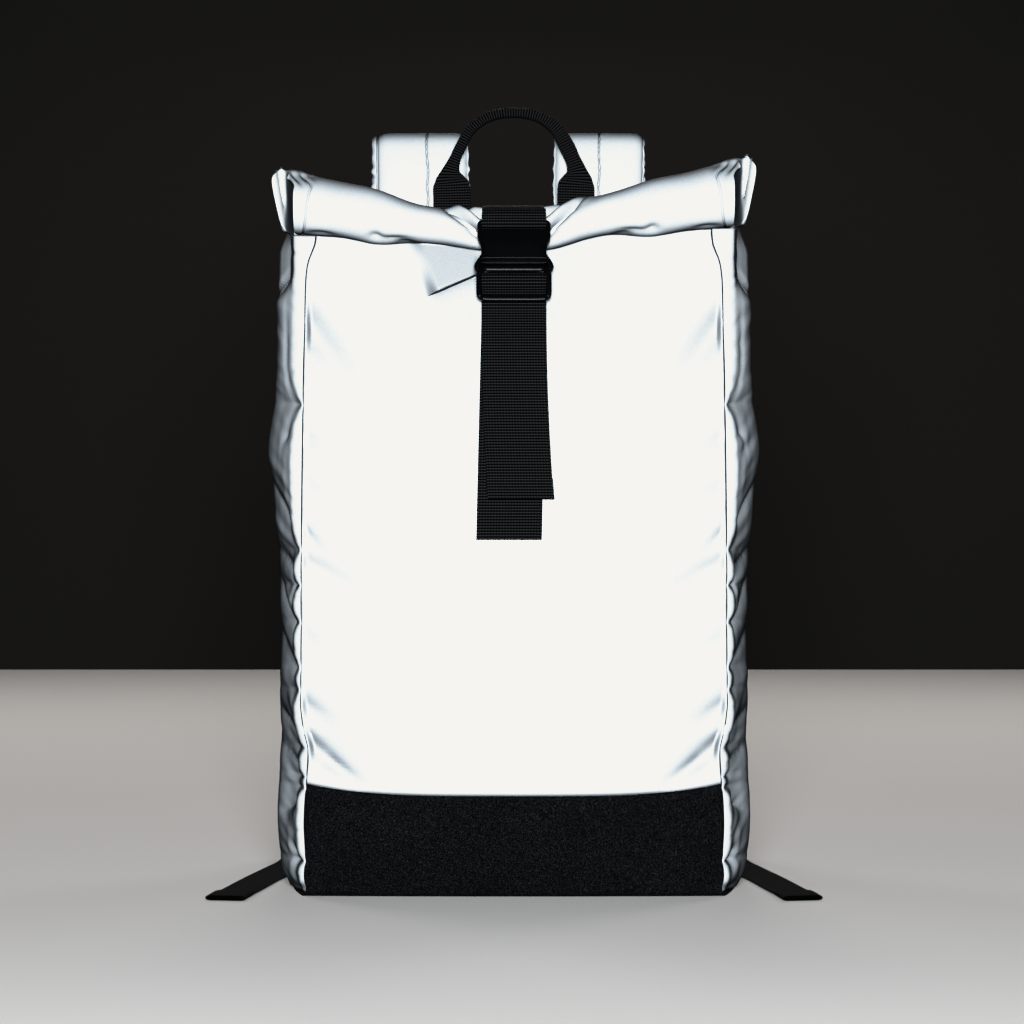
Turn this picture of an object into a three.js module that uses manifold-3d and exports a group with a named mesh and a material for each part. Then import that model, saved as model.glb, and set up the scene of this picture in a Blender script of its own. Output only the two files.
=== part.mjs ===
// Roll-top backpack standing on its base, in millimetres, +Z up, front towards -Y.
// The origin is the middle of the underside of the base, where the bag rests on the floor.
import * as THREE from "three";
import { LoftGeometry } from "three/addons/geometries/LoftGeometry.js";
import { mergeVertices } from "three/addons/utils/BufferGeometryUtils.js";
import Module from "manifold-3d";

const wasm = await Module();
wasm.setup();

// Driving sizes
const FABRIC = 1.5; // wall of the coated cloth
const SEAM_GAP = 0.6; // air left between two sewn pieces
const STRAP_GAP = 1; // air left under a strap that lies on cloth
const MOUTH_GAP = 1.7; // air left where the panels turn into the roll
const SEAM_TURN = 2.2; // cloth turned in at a side seam, so the gusset starts this far from it
const BASE_BAND = 63; // height of the black front band at its middle
const BASE_BAND_RISE = 6.5; // extra height of the band at the side seams
const BASE_CORNER = 6; // rounding of the front lower edge
const BASE_BACK = 63.5; // half depth of the flat underside
const BASE_BELLY = 13; // how far the flat underside bellies out at each side
const BELLY_POWER = 0.8; // fullness of a side's belly from its front seam to its back seam
const WEBBING = 1.5; // thickness of every webbing
const WIDE_WEBBING = 40; // closure strap
const NARROW_WEBBING = 25; // handle and shoulder strap tails
const FLOOR_CLEAR = 0.25; // how far the tails lie above the floor plane

// Side seams of the front panel by height: half width, depth, and the swell of the panel between them
const FRONT_SEAM = [
  { z: 0, x: 127, y: -65, swell: 1 },
  { z: 12, x: 128.5, y: -66, swell: 4 },
  { z: 30, x: 129, y: -66.5, swell: 7 },
  { z: 68, x: 127, y: -66, swell: 11 },
  { z: 110, x: 129.5, y: -67, swell: 14 },
  { z: 200, x: 131, y: -67.5, swell: 16 },
  { z: 275, x: 130, y: -65, swell: 14 },
  { z: 325, x: 130, y: -61, swell: 11 },
  { z: 345, x: 129.8, y: -58, swell: 10.6 },
  { z: 365, x: 129.3, y: -52.5, swell: 10 },
  { z: 380, x: 128.8, y: -46.5, swell: 9.5 },
  { z: 388, x: 128.4, y: -42.5, swell: 9 },
  { z: 393, x: 128, y: -39.5, swell: 7.5 },
  { z: 397, x: 127.7, y: -35.5, swell: 4.5 },
  { z: 400, x: 127.5, y: -31.5, swell: 1 },
  { z: 403, x: 127.3, y: -28.5, swell: 0 },
  { z: 410, x: 127, y: -26.2, swell: 0 },
  { z: 425, x: 126.5, y: -24.6, swell: 0 },
];
const SWELL_POWER = 2.2; // flatness of the swell across the front
const FRONT_CROWD = 1.25; // rows of the front panel lie closer together towards the roll

// Back panel and roof from the base to the mouth, by share of the way up
const BACK_SEAM = [
  { up: 0, x: 126, y: 64, z: 2.4, swell: 0 },
  { up: 0.07, x: 128, y: 65, z: 32, swell: 2 },
  { up: 0.25, x: 130, y: 65, z: 115, swell: 4 },
  { up: 0.45, x: 130, y: 65, z: 205, swell: 4 },
  { up: 0.62, x: 130, y: 64.5, z: 285, swell: 3 },
  { up: 0.73, x: 130, y: 64, z: 340, swell: 2 },
  { up: 0.83, x: 129, y: 61, z: 390, swell: 2 },
  { up: 0.9, x: 128, y: 46, z: 419, swell: 1 },
  { up: 0.95, x: 127.5, y: 12, z: 428, swell: 0 },
  { up: 1, x: 126.5, y: -22.6, z: 421, swell: 0 },
];

// Gusset by share of the way up: height of its front seam, how far it bellies out, the strip beside the seam
// that faces forwards, and how much of the gathered shape under the roll it takes
const GUSSET = [
  { up: 0, z: 2, belly: BASE_BELLY, strip: 2, gather: 0 },
  { up: 0.03, z: 13, belly: 17.5, strip: 4, gather: 0 },
  { up: 0.07, z: 30, belly: 19.5, strip: 5, gather: 0 },
  { up: 0.25, z: 110, belly: 18.5, strip: 5, gather: 0 },
  { up: 0.45, z: 200, belly: 19.5, strip: 6, gather: 0 },
  { up: 0.62, z: 275, belly: 26, strip: 7, gather: 0 },
  { up: 0.73, z: 325, belly: 22, strip: 8, gather: 0.1 },
  { up: 0.83, z: 368, belly: 23, strip: 8, gather: 0.75 },
  { up: 0.9, z: 396, belly: 22, strip: 8, gather: 1 },
  { up: 0.95, z: 412, belly: 22, strip: 8, gather: 1 },
];
const GUSSET_CROWD = 1.4; // rows of the gusset lie closer together towards its front seam
const STRIP_DEPTH = 2.2; // how quickly the forward strip turns back

// Gathered shape of the gusset under the roll, from front seam to back seam: a strip, a deep valley, a bulge
const GATHER = [
  { across: 0, out: 0 },
  { across: 0.03, out: 6 },
  { across: 0.08, out: 9 },
  { across: 0.15, out: 8 },
  { across: 0.24, out: 3.5 },
  { across: 0.36, out: 2 },
  { across: 0.48, out: 4 },
  { across: 0.57, out: 14 },
  { across: 0.66, out: 21 },
  { across: 0.8, out: 21 },
  { across: 0.93, out: 12 },
  { across: 1, out: 0 },
];

// Soft dents of the front panel, from the side seam inwards, mirrored on both sides
const FRONT_FOLDS = [
  { fromX: 127, fromZ: 352, toX: 88, toZ: 306, width: 10, depth: 2.4 },
  { fromX: 130, fromZ: 227, toX: 112, toZ: 208, width: 7, depth: 1.6 },
  { fromX: 128, fromZ: 206, toX: 78, toZ: 178, width: 10, depth: 1.6 },
  { fromX: 130, fromZ: 119, toX: 104, toZ: 102, width: 9, depth: 3 },
  { fromX: 129, fromZ: 97, toX: 90, toZ: 68, width: 7, depth: 4 },
];

// Creases of the gusset: height at the front seam, height where they die out, reach across the gusset
const GUSSET_FOLDS = [
  { seamZ: 308, farZ: 350, reach: 0.6, width: 14, depth: 4 },
  { seamZ: 212, farZ: 282, reach: 0.62, width: 10, depth: 6 },
  { seamZ: 190, farZ: 236, reach: 0.55, width: 8, depth: 5 },
  { seamZ: 143, farZ: 204, reach: 0.62, width: 9, depth: 5 },
  { seamZ: 91, farZ: 150, reach: 0.6, width: 9, depth: 5 },
  { seamZ: 66, farZ: 104, reach: 0.5, width: 8, depth: 5 },
  { seamZ: 23, farZ: 58, reach: 0.45, width: 9, depth: 3 },
];

// Rolled mouth by distance from the middle: the closure strap pulls its middle down and thin
const ROLL = [
  { x: 0, z: 413, halfDepth: 15, halfHeight: 15 },
  { x: 22, z: 412.6, halfDepth: 15, halfHeight: 15 },
  { x: 45, z: 414.8, halfDepth: 16, halfHeight: 13.6 },
  { x: 62, z: 416.6, halfDepth: 17, halfHeight: 14.6 },
  { x: 85, z: 420, halfDepth: 18, halfHeight: 20 },
  { x: 107, z: 423.6, halfDepth: 19, halfHeight: 21.2 },
  { x: 127, z: 425.6, halfDepth: 20, halfHeight: 23 },
  { x: 152, z: 428, halfDepth: 20, halfHeight: 24 },
];
const ROLL_BACK = -24; // plane that the back of the roll lies against
const ROLL_WALL = 2.4; // two layers of cloth
const ROLL_START = -25; // degrees above the roll's own level where the mouth turns into it
const ROLL_TURNS = 1.95;
const ROLL_PITCH = 0.24; // share of the radius lost in a turn
const ROLL_SQUARE = 0.75; // below 1 flattens the front of the roll
const ROLL_END = 138; // half length of the roll at its front
const ROLL_EAR = 13; // how much further its back layer sticks out at each end

// Buckle, in its own plane: x across, v up along the strap, o out from the bag
const BUCKLE = { y: -70.6, z: 366, lean: 14.5 };
const MALE = { width: 46.5, height: 22, rail: 6, bar: 3.6, endBar: 4, slot: 7.5, midBar: 3.5 };
const FEMALE = { width: 45.5, waist: 41, bottom: 22.6, top: 53.6, thick: 10, waistTop: 36.4, bar: 3.2 };
const TONGUE = { width: 33, height: 17, thick: 4 };
const PRONG = { width: 5.5, height: 14 };

// Upper closure strap: where it lies on the roof and on the roll, and its loop round the socket's bar, measured
// from the socket's top
const STRAP_ON_ROOF = { from: 0.86, to: 0.975 };
const STRAP_ON_ROLL = { from: 0.2, to: 0.47 };
const UPPER_LOOP = [
  { v: 3, o: -3 },
  { v: -0.5, o: -3.2 },
  { v: -3.4, o: -3.2 },
  { v: -5.6, o: -2 },
  { v: -6.1, o: 0 },
  { v: -5.6, o: 2 },
  { v: -3.4, o: 3.2 },
  { v: -0.5, o: 3.2 },
  { v: 3, o: 3 },
];

// Lower closure strap, and its loop round the middle bar of the frame
const LOWER_LOOP = [
  { v: 1, o: -5.4 },
  { v: 8, o: -5.3 },
  { v: 13, o: -4.3 },
  { v: 16.4, o: -2.7 },
  { v: 17.6, o: 0 },
  { v: 16.4, o: 2.7 },
  { v: 13.4, o: 3.2 },
  { v: 10.4, o: 2.7 },
  { v: 8, o: 0.2 },
  { v: 5.4, o: -2.4 },
  { v: 2, o: -3.3 },
  { v: -2, o: -3.4 },
];
const ANCHOR_END_Z = 220; // where its sewn end lies on the front panel
const TAIL_END_Z = 246; // where its loose end hangs
const TAIL_DRIFT = 5; // how far the loose end drifts to the right
const ANCHOR_DRIFT = -2.5;

// Grab handle: route of its middle line from one foot to the top, where the webbing is folded and rolled
const HANDLE = [
  { x: 41.5, y: 66.8, z: 362, width: 25, thick: 1.5, turn: 0 },
  { x: 41.5, y: 67, z: 390, width: 25, thick: 1.5, turn: 0 },
  { x: 41.5, y: 68, z: 425, width: 25, thick: 1.5, turn: 0 },
  { x: 41.5, y: 68.5, z: 446, width: 25, thick: 1.6, turn: 2 },
  { x: 42, y: 68.5, z: 458, width: 22, thick: 2.4, turn: 8 },
  { x: 41.6, y: 68.5, z: 466, width: 11.5, thick: 5, turn: 16 },
  { x: 38.8, y: 68.5, z: 473, width: 7.2, thick: 7.5, turn: 25 },
  { x: 34.6, y: 68.5, z: 482, width: 6.6, thick: 8.5, turn: 28 },
  { x: 28.2, y: 68.5, z: 493, width: 6.8, thick: 8.5, turn: 41 },
  { x: 16.5, y: 68.5, z: 501.8, width: 6.4, thick: 8.5, turn: 66 },
  { x: 0, y: 68.5, z: 504.8, width: 5.8, thick: 8.5, turn: 90 },
];

// Padded shoulder strap by its middle line
const SHOULDER = [
  { x: 60, y: 70.2, z: 358, width: 60, thick: 4 },
  { x: 60, y: 71.6, z: 390, width: 60, thick: 6 },
  { x: 60, y: 75, z: 425, width: 61, thick: 8.5 },
  { x: 60, y: 78.5, z: 455, width: 62, thick: 9 },
  { x: 60.5, y: 82.5, z: 477, width: 62, thick: 9 },
  { x: 60.8, y: 86, z: 486, width: 62, thick: 9 },
  { x: 61, y: 93, z: 490, width: 62, thick: 9 },
  { x: 61.3, y: 100.5, z: 486, width: 62, thick: 9 },
  { x: 61.6, y: 106, z: 474, width: 62, thick: 9 },
  { x: 62.5, y: 112, z: 450, width: 62, thick: 9 },
  { x: 66, y: 119, z: 390, width: 62, thick: 9 },
  { x: 74, y: 124, z: 320, width: 60, thick: 9 },
  { x: 84, y: 122, z: 250, width: 56, thick: 9 },
  { x: 93, y: 113, z: 190, width: 50, thick: 9 },
  { x: 101.5, y: 102, z: 146, width: 42, thick: 8 },
  { x: 104, y: 95, z: 121, width: 33, thick: 6 },
];

// Ladder-lock adjuster below a shoulder strap, in its own plane: v up along the strap, o out from the bag
const ADJUSTER = { x: 104.5, y: 85.2, z: 85.6, lean: 15.6, width: 33, thick: 3.6 };
const ADJUSTER_BARS = [
  { low: 0, high: 3.5 },
  { low: 9.5, high: 13 },
  { low: 19, high: 22.5 },
  { low: 28.5, high: 32 },
];

// Short tab round the adjuster's top bar, from one of its sewn ends to the middle of its fold
const TAB_HALF = [
  { v: 58, o: 6 },
  { v: 48, o: 5.6 },
  { v: 39, o: 4.9 },
  { v: 31, o: 3.4 },
  { v: 28.2, o: 3 },
  { v: 26.2, o: 1.9 },
  { v: 25.6, o: 0 },
];

// Shoulder webbing where it is threaded through the adjuster
const WEB_LOOP = [
  { v: -8, o: -5.4 },
  { v: 5, o: -5 },
  { v: 11, o: -4.2 },
  { v: 14.6, o: -2.6 },
  { v: 15.8, o: 0 },
  { v: 14.4, o: 2.6 },
  { v: 11.2, o: 3.2 },
  { v: 8, o: 2.6 },
  { v: 6.4, o: 0.2 },
  { v: 4.4, o: -2.4 },
  { v: 1.6, o: -3.1 },
  { v: -3, o: -3 },
  { v: -10, o: -1.6 },
];

// Sewn end of a shoulder webbing on the back panel, and its loose tail on the floor, forwards along the bag
const WEB_FOOT = [
  { x: 112, y: 66, z: 10, thick: 1.5, roll: 0 },
  { x: 112, y: 67, z: 24, thick: 1.5, roll: 0 },
  { x: 108.5, y: 72.5, z: 52, thick: 1.5, roll: 0 },
];
const WEB_TAIL = [
  { x: 109, y: 88, z: 62, thick: 1.5, roll: 12 },
  { x: 119, y: 98, z: 40, thick: 1.5, roll: 24 },
  { x: 132, y: 104, z: 19, thick: 1.5, roll: 20 },
  { x: 139.5, y: 100, z: 7.5, thick: 1.5, roll: 8 },
  { x: 143.5, y: 91, z: 3, thick: 1.5, roll: 1 },
  { x: 146.5, y: 81, z: 1.1, thick: 1.5, roll: 0 },
  { x: 151, y: 58, z: 1, thick: 1.5, roll: 0 },
  { x: 162, y: 4, z: 1, thick: 1.5, roll: 0 },
  { x: 171.5, y: -52, z: 1.3, thick: 1.5, roll: 0 },
  { x: 172.5, y: -58, z: 1.8, thick: 3.2, roll: 0 },
  { x: 176, y: -80, z: 1.8, thick: 3.2, roll: 0 },
];

// Materials
const silver = new THREE.MeshStandardMaterial({ color: 0xdfe2e6, roughness: 0.5, metalness: 0.6 });
const blackCloth = new THREE.MeshStandardMaterial({ color: 0x17181a, roughness: 0.9, metalness: 0 });
const blackWebbing = new THREE.MeshStandardMaterial({ color: 0x121214, roughness: 0.7, metalness: 0 });
const blackPlastic = new THREE.MeshStandardMaterial({ color: 0x0c0d10, roughness: 0.35, metalness: 0 });

// Rows of a table read smoothly at any value of one column, with a curve through the rows
function readTable(rows, column, at) {
  const last = rows.length - 1;
  let i = 0;
  while (i < last - 1 && at > rows[i + 1][column]) i += 1;
  const [a, b] = [rows[i], rows[i + 1]];
  const before = rows[Math.max(i - 1, 0)];
  const after = rows[Math.min(i + 2, last)];
  const span = b[column] - a[column];
  const t = THREE.MathUtils.clamp((at - a[column]) / span, 0, 1);
  const read = {};
  for (const name of Object.keys(a)) {
    const startSlope = ((b[name] - before[name]) / (b[column] - before[column])) * span;
    const endSlope = ((after[name] - a[name]) / (after[column] - a[column])) * span;
    read[name] =
      a[name] * (1 + 2 * t) * (1 - t) ** 2 +
      startSlope * t * (1 - t) ** 2 +
      b[name] * t * t * (3 - 2 * t) +
      endSlope * t * t * (t - 1);
  }
  return read;
}

// Depth at a point of one fold: deepest on its line, fading across its width and towards its far end
function foldAt(a, b, fold) {
  const [du, dv] = [fold.toA - fold.fromA, fold.toB - fold.fromB];
  const along = ((a - fold.fromA) * du + (b - fold.fromB) * dv) / (du * du + dv * dv);
  const t = THREE.MathUtils.clamp(along, 0, 1);
  const away = Math.hypot(a - fold.fromA - t * du, b - fold.fromB - t * dv);
  return fold.depth * (1 - t) ** 0.7 * Math.exp(-((away / fold.width) ** 2));
}

// A closed solid lofted through rings of points, with its faces turned outwards
function loft(rings) {
  const build = (sections) => new LoftGeometry(sections, { capStart: true, capEnd: true });
  const geometry = build(rings);
  return signedVolume(geometry) > 0 ? geometry : build(rings.map((ring) => [...ring].reverse()));
}

function signedVolume(geometry) {
  const position = geometry.getAttribute("position");
  const [a, b, c] = [new THREE.Vector3(), new THREE.Vector3(), new THREE.Vector3()];
  let sum = 0;
  for (let i = 0; i < geometry.index.count; i += 3) {
    a.fromBufferAttribute(position, geometry.index.getX(i));
    b.fromBufferAttribute(position, geometry.index.getX(i + 1));
    c.fromBufferAttribute(position, geometry.index.getX(i + 2));
    sum += a.dot(b.cross(c)) / 6;
  }
  return sum;
}

// A wall of cloth behind a surface given by u and v from 0 to 1: the wall's thickness goes along the normal
function clothWall(surface, uSteps, vSteps, thickness) {
  const nudge = 1e-3;
  const normalAt = (u, v) => {
    const across = surface(Math.min(u + nudge, 1), v).sub(surface(Math.max(u - nudge, 0), v));
    const up = surface(u, Math.min(v + nudge, 1)).sub(surface(u, Math.max(v - nudge, 0)));
    return across.cross(up).normalize();
  };
  const rings = [];
  for (let i = 0; i <= uSteps; i += 1) {
    const outer = [];
    const inner = [];
    for (let j = 0; j <= vSteps; j += 1) {
      const [u, v] = [i / uSteps, j / vSteps];
      const point = surface(u, v);
      outer.push(point);
      inner.push(point.clone().addScaledVector(normalAt(u, v), -thickness));
    }
    rings.push([...outer, ...inner.reverse()]);
  }
  return loft(rings);
}

// A strap along stations: each has a middle, a unit vector across its width, a width and a thickness
function strapSolid(stations, corners) {
  const rings = stations.map((station, i) => {
    const ahead = stations[Math.min(i + 1, stations.length - 1)].middle;
    const behind = stations[Math.max(i - 1, 0)].middle;
    const along = ahead.clone().sub(behind).normalize();
    const face = along.clone().cross(station.across).normalize();
    const across = face.clone().cross(along).normalize();
    return corners.map(([a, b]) =>
      station.middle
        .clone()
        .addScaledVector(across, (a * station.width) / 2)
        .addScaledVector(face, (b * station.thick) / 2),
    );
  });
  return loft(rings);
}

const FLAT_SECTION = [[-1, -1], [1, -1], [1, 1], [-1, 1]];
const PADDED_SECTION = [
  [-0.86, -1], [0, -1.04], [0.86, -1], [1, -0.35], [1, 0.35],
  [0.86, 1], [0, 1.04], [-0.86, 1], [-1, 0.35], [-1, -0.35],
];

// Stations sampled on a smooth curve through table rows that hold x, y, z and any other columns
function stationsOf(rows, perRow, acrossOf, mirror = 1) {
  const points = rows.map((row) => new THREE.Vector3(row.x * mirror, row.y, row.z));
  const curve = new THREE.CatmullRomCurve3(points, false, "centripetal");
  const numbered = rows.map((row, k) => ({ ...row, k }));
  const steps = perRow * (rows.length - 1);
  const stations = [];
  for (let i = 0; i <= steps; i += 1) {
    const t = i / steps;
    const row = readTable(numbered, "k", t * (rows.length - 1));
    stations.push({
      middle: curve.getPoint(t),
      across: acrossOf(row),
      width: row.width ?? NARROW_WEBBING,
      thick: row.thick ?? WEBBING,
    });
  }
  return stations;
}

// Front surface: half width share s from -1 to 1 and height z
function frontPoint(s, z) {
  const row = readTable(FRONT_SEAM, "z", z);
  const inside = 1 - Math.abs(s) ** SWELL_POWER;
  const x = s * row.x;
  const toSeam = Math.min(1, (row.x - Math.abs(x)) / 8);
  const dent = FRONT_FOLDS.reduce((sum, f) => {
    const line = { fromA: f.fromX, fromB: f.fromZ, toA: f.toX, toB: f.toZ, width: f.width, depth: f.depth };
    return sum + foldAt(Math.abs(x), z, line);
  }, 0);
  return new THREE.Vector3(x, row.y - row.swell * inside + dent * toSeam, z);
}

const bandTop = (s) => BASE_BAND + BASE_BAND_RISE * s ** 4;

function rollRow(x) {
  const row = readTable(ROLL, "x", Math.min(Math.abs(x), ROLL[ROLL.length - 1].x));
  return { ...row, y: ROLL_BACK - row.halfDepth };
}

const mouthHeight = (x) => {
  const row = rollRow(x);
  return row.z + row.halfHeight * Math.sin(THREE.MathUtils.degToRad(ROLL_START));
};

// Shares across a panel, closer together at its seams
const acrossPanel = (u) => Math.sin(((2 * u - 1) * Math.PI) / 2);

function frontPanel() {
  const surface = (u, v) => {
    const s = acrossPanel(u);
    const top = mouthHeight(s * FRONT_SEAM[0].x) - MOUTH_GAP;
    const up = 1 - (1 - v) ** FRONT_CROWD;
    return frontPoint(s, THREE.MathUtils.lerp(bandTop(s) + SEAM_GAP, top, up));
  };
  return clothWall(surface, 24, 18, FABRIC);
}

// Black band across the lower front, turned under the bag as its base
function basePanel() {
  const corner = (Math.PI / 2) * BASE_CORNER;
  const flat = BASE_BACK * 2;
  const surface = (u, v) => {
    const s = acrossPanel(u);
    const upright = bandTop(s) - BASE_CORNER;
    const way = (1 - v) * (upright + corner + flat);
    if (way <= upright) return frontPoint(s, bandTop(s) - way);
    const foot = frontPoint(s, BASE_CORNER);
    const angle = Math.min((way - upright) / BASE_CORNER, Math.PI / 2);
    const back = Math.max(way - upright - corner, 0) / flat;
    const turned = foot.y + BASE_CORNER * (1 - Math.cos(angle));
    const y = THREE.MathUtils.lerp(turned, BASE_BACK, back);
    const share = (y - FRONT_SEAM[0].y) / (BASE_BACK - FRONT_SEAM[0].y);
    const belly = BASE_BELLY * Math.sin(Math.PI * THREE.MathUtils.clamp(share, 0, 1)) ** BELLY_POWER;
    return new THREE.Vector3(foot.x + s * belly, y, BASE_CORNER * (1 - Math.sin(angle)));
  };
  return clothWall(surface, 12, 20, FABRIC);
}

// Back panel that runs on as the roof to the mouth, and sags there with the roll
function backPoint(s, up) {
  const row = readTable(BACK_SEAM, "up", up);
  const x = s * row.x;
  const sag = BACK_SEAM[BACK_SEAM.length - 1].z - mouthHeight(x) - MOUTH_GAP;
  const near = THREE.MathUtils.smoothstep(up, 0.8, 1);
  const inside = 1 - s * s;
  return new THREE.Vector3(x, row.y + row.swell * inside, row.z - sag * near);
}

function backPanel() {
  return clothWall((u, v) => backPoint(1 - 2 * u, v), 8, 20, FABRIC);
}

// Gusset of one side: across runs from its front seam to its back seam
function gussetPoint(side, across, up) {
  const row = readTable(GUSSET, "up", up);
  const front = frontPoint(1, row.z);
  const back = readTable(BACK_SEAM, "up", up);
  const depth = Math.hypot(back.y - front.y, back.z - front.z);
  const turned = SEAM_TURN + BASE_CORNER * (1 - THREE.MathUtils.smoothstep(row.z, 2, 10));
  const turn = turned / depth;
  const t = THREE.MathUtils.lerp(turn, 1 - turn, across);
  const z = THREE.MathUtils.lerp(front.z, back.z, t);
  const strip = row.strip * (1 - Math.exp((turned - t * depth) / STRIP_DEPTH)) * (1 - t);
  const bellied = (row.belly - row.strip / 2) * Math.sin(Math.PI * across) ** BELLY_POWER + strip;
  const gathered = readTable(GATHER, "across", across).out;
  const fade = Math.sin(Math.PI * across);
  const crease = GUSSET_FOLDS.reduce((sum, f) => {
    const far = f.reach * depth;
    const line = { fromA: 0, fromB: f.seamZ, toA: far, toB: f.farZ, width: f.width, depth: f.depth };
    return sum + foldAt(t * depth, z, line);
  }, 0);
  const out = THREE.MathUtils.lerp(bellied, gathered, row.gather) - crease * Math.min(1, fade * 2);
  const x = THREE.MathUtils.lerp(front.x, back.x, t) + 1.5 * SEAM_GAP + out;
  return new THREE.Vector3(side * x, THREE.MathUtils.lerp(front.y, back.y, t), z);
}

function gusset(side) {
  const top = GUSSET[GUSSET.length - 1].up;
  const surface = (u, v) => gussetPoint(side, (side > 0 ? u : 1 - u) ** GUSSET_CROWD, v * top);
  return clothWall(surface, 12, 26, FABRIC);
}

// Rolled mouth: a double layer of cloth wound forwards from the mouth over its own axis
function rollPoint(x, turn) {
  const row = rollRow(x);
  const angle = THREE.MathUtils.degToRad(ROLL_START) + turn * 2 * Math.PI;
  const size = 1 - ROLL_PITCH * turn;
  const power = Math.cos(angle) < 0 ? ROLL_SQUARE : 1;
  const rounded = (share) => Math.sign(share) * Math.abs(share) ** power;
  return new THREE.Vector3(
    x,
    row.y + size * row.halfDepth * rounded(Math.cos(angle)),
    row.z + size * row.halfHeight * rounded(Math.sin(angle)),
  );
}

function roll() {
  const surface = (u, v) => {
    const turn = v * ROLL_TURNS;
    const ear = ROLL_EAR * (1 - THREE.MathUtils.smoothstep(turn, 0.22, 0.44));
    return rollPoint((2 * u - 1) * (ROLL_END + ear), turn);
  };
  return clothWall((u, v) => surface(1 - u, v), 16, 26, ROLL_WALL);
}

// The buckle's own plane turned and set on the bag
const buckleLean = THREE.MathUtils.degToRad(BUCKLE.lean);
function onBuckle(v, o) {
  return {
    y: BUCKLE.y + v * Math.sin(buckleLean) - o * Math.cos(buckleLean),
    z: BUCKLE.z + v * Math.cos(buckleLean) + o * Math.sin(buckleLean),
  };
}

function solidOf(geometry) {
  const bare = geometry.clone();
  bare.deleteAttribute("normal");
  bare.deleteAttribute("uv");
  const merged = mergeVertices(bare, 1e-4);
  const mesh = new wasm.Mesh({
    numProp: 3,
    vertProperties: new Float32Array(merged.getAttribute("position").array),
    triVerts: new Uint32Array(merged.index.array),
  });
  return new wasm.Manifold(mesh);
}

function geometryOf(solid) {
  const mesh = solid.getMesh();
  const geometry = new THREE.BufferGeometry();
  geometry.setAttribute("position", new THREE.BufferAttribute(mesh.vertProperties, 3));
  geometry.setIndex(new THREE.BufferAttribute(mesh.triVerts, 1));
  geometry.computeVertexNormals();
  return geometry;
}

// A block in the buckle's own plane: x across, v up, o out
function block(width, vLow, vHigh, oLow, oHigh, xMiddle = 0) {
  const box = new THREE.BoxGeometry(width, oHigh - oLow, vHigh - vLow);
  box.translate(xMiddle, -(oLow + oHigh) / 2, (vLow + vHigh) / 2);
  return solidOf(box);
}

// A plate with rounded corners in the buckle's own plane
function plate(outline, oLow, oHigh) {
  const shape = new THREE.Shape(outline.map(([x, v]) => new THREE.Vector2(x, v)));
  const extruded = new THREE.ExtrudeGeometry(shape, { depth: oHigh - oLow, bevelEnabled: false });
  extruded.rotateX(Math.PI / 2);
  extruded.translate(0, -oLow, 0);
  return solidOf(extruded);
}

// Lower half: a frame with two bars for the strap, and the tongue and prongs that lock into the upper half
function buckleMale() {
  const half = MALE.width / 2;
  const cut = 3;
  const outline = [
    [-half + cut, 0], [half - cut, 0], [half, cut], [half, MALE.height - cut], [half - cut, MALE.height],
    [-half + cut, MALE.height], [-half, MALE.height - cut], [-half, cut],
  ];
  const slotWidth = WIDE_WEBBING + 1.2;
  const barLow = MALE.endBar + MALE.slot;
  const barHigh = barLow + MALE.midBar;
  const frame = plate(outline, -MALE.rail / 2, MALE.rail / 2)
    .subtract(block(slotWidth, MALE.endBar, barLow, -5, 5))
    .subtract(block(slotWidth, barHigh, MALE.height - 2.4, -5, 5))
    .subtract(block(slotWidth, -1, barHigh, MALE.bar / 2, 5))
    .subtract(block(slotWidth, -1, barHigh, -5, -MALE.bar / 2));
  const top = MALE.height + TONGUE.height;
  const prongTop = MALE.height + PRONG.height;
  const prongX = TONGUE.width / 2 - PRONG.width / 2;
  const halfThick = TONGUE.thick / 2;
  let solid = frame.add(block(10, MALE.height - 1, top, -halfThick, halfThick));
  for (const side of [-1, 1]) {
    solid = solid.add(block(PRONG.width, MALE.height - 1, prongTop, -halfThick, halfThick, side * prongX));
  }
  return geometryOf(solid);
}

// Upper half: a flat socket with a waist, and a bar at its top that holds the upper strap
function buckleFemale() {
  const half = FEMALE.width / 2;
  const waist = FEMALE.waist / 2;
  const cut = 3.5;
  const outline = [
    [-waist, FEMALE.bottom], [waist, FEMALE.bottom], [waist, FEMALE.waistTop], [half, FEMALE.waistTop + cut],
    [half, FEMALE.top - cut], [half - cut, FEMALE.top], [-half + cut, FEMALE.top], [-half, FEMALE.top - cut],
    [-half, FEMALE.waistTop + cut], [-waist, FEMALE.waistTop],
  ];
  const socketTop = FEMALE.bottom + TONGUE.height + 1;
  const socketHalf = TONGUE.thick / 2 + 0.5;
  const slotLow = FEMALE.top - FEMALE.bar - 4;
  const slotWidth = WIDE_WEBBING + 1.2;
  const solid = plate(outline, -FEMALE.thick / 2, FEMALE.thick / 2)
    .subtract(block(TONGUE.width + 1, FEMALE.bottom - 1, socketTop, -socketHalf, socketHalf))
    .subtract(block(slotWidth, slotLow, FEMALE.top - FEMALE.bar, -9, 9))
    .subtract(block(slotWidth, slotLow, FEMALE.top + 1, 2, 9))
    .subtract(block(slotWidth, slotLow, FEMALE.top + 1, -9, -2));
  return geometryOf(solid);
}

const acrossX = () => new THREE.Vector3(1, 0, 0);
const stationAt = (x, point) => ({
  middle: new THREE.Vector3(x, point.y, point.z),
  across: acrossX(),
  width: WIDE_WEBBING,
  thick: WEBBING,
});

// A point that lies off a curve in the middle plane of the bag by a distance along the curve's outward normal
function offCurve(curve, t, distance) {
  const step = 1e-3;
  const [a, b] = [curve(t - step), curve(t + step)];
  const along = new THREE.Vector2(b.y - a.y, b.z - a.z).normalize();
  const here = curve(t);
  return { y: here.y - along.y * distance, z: here.z + along.x * distance };
}

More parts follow.
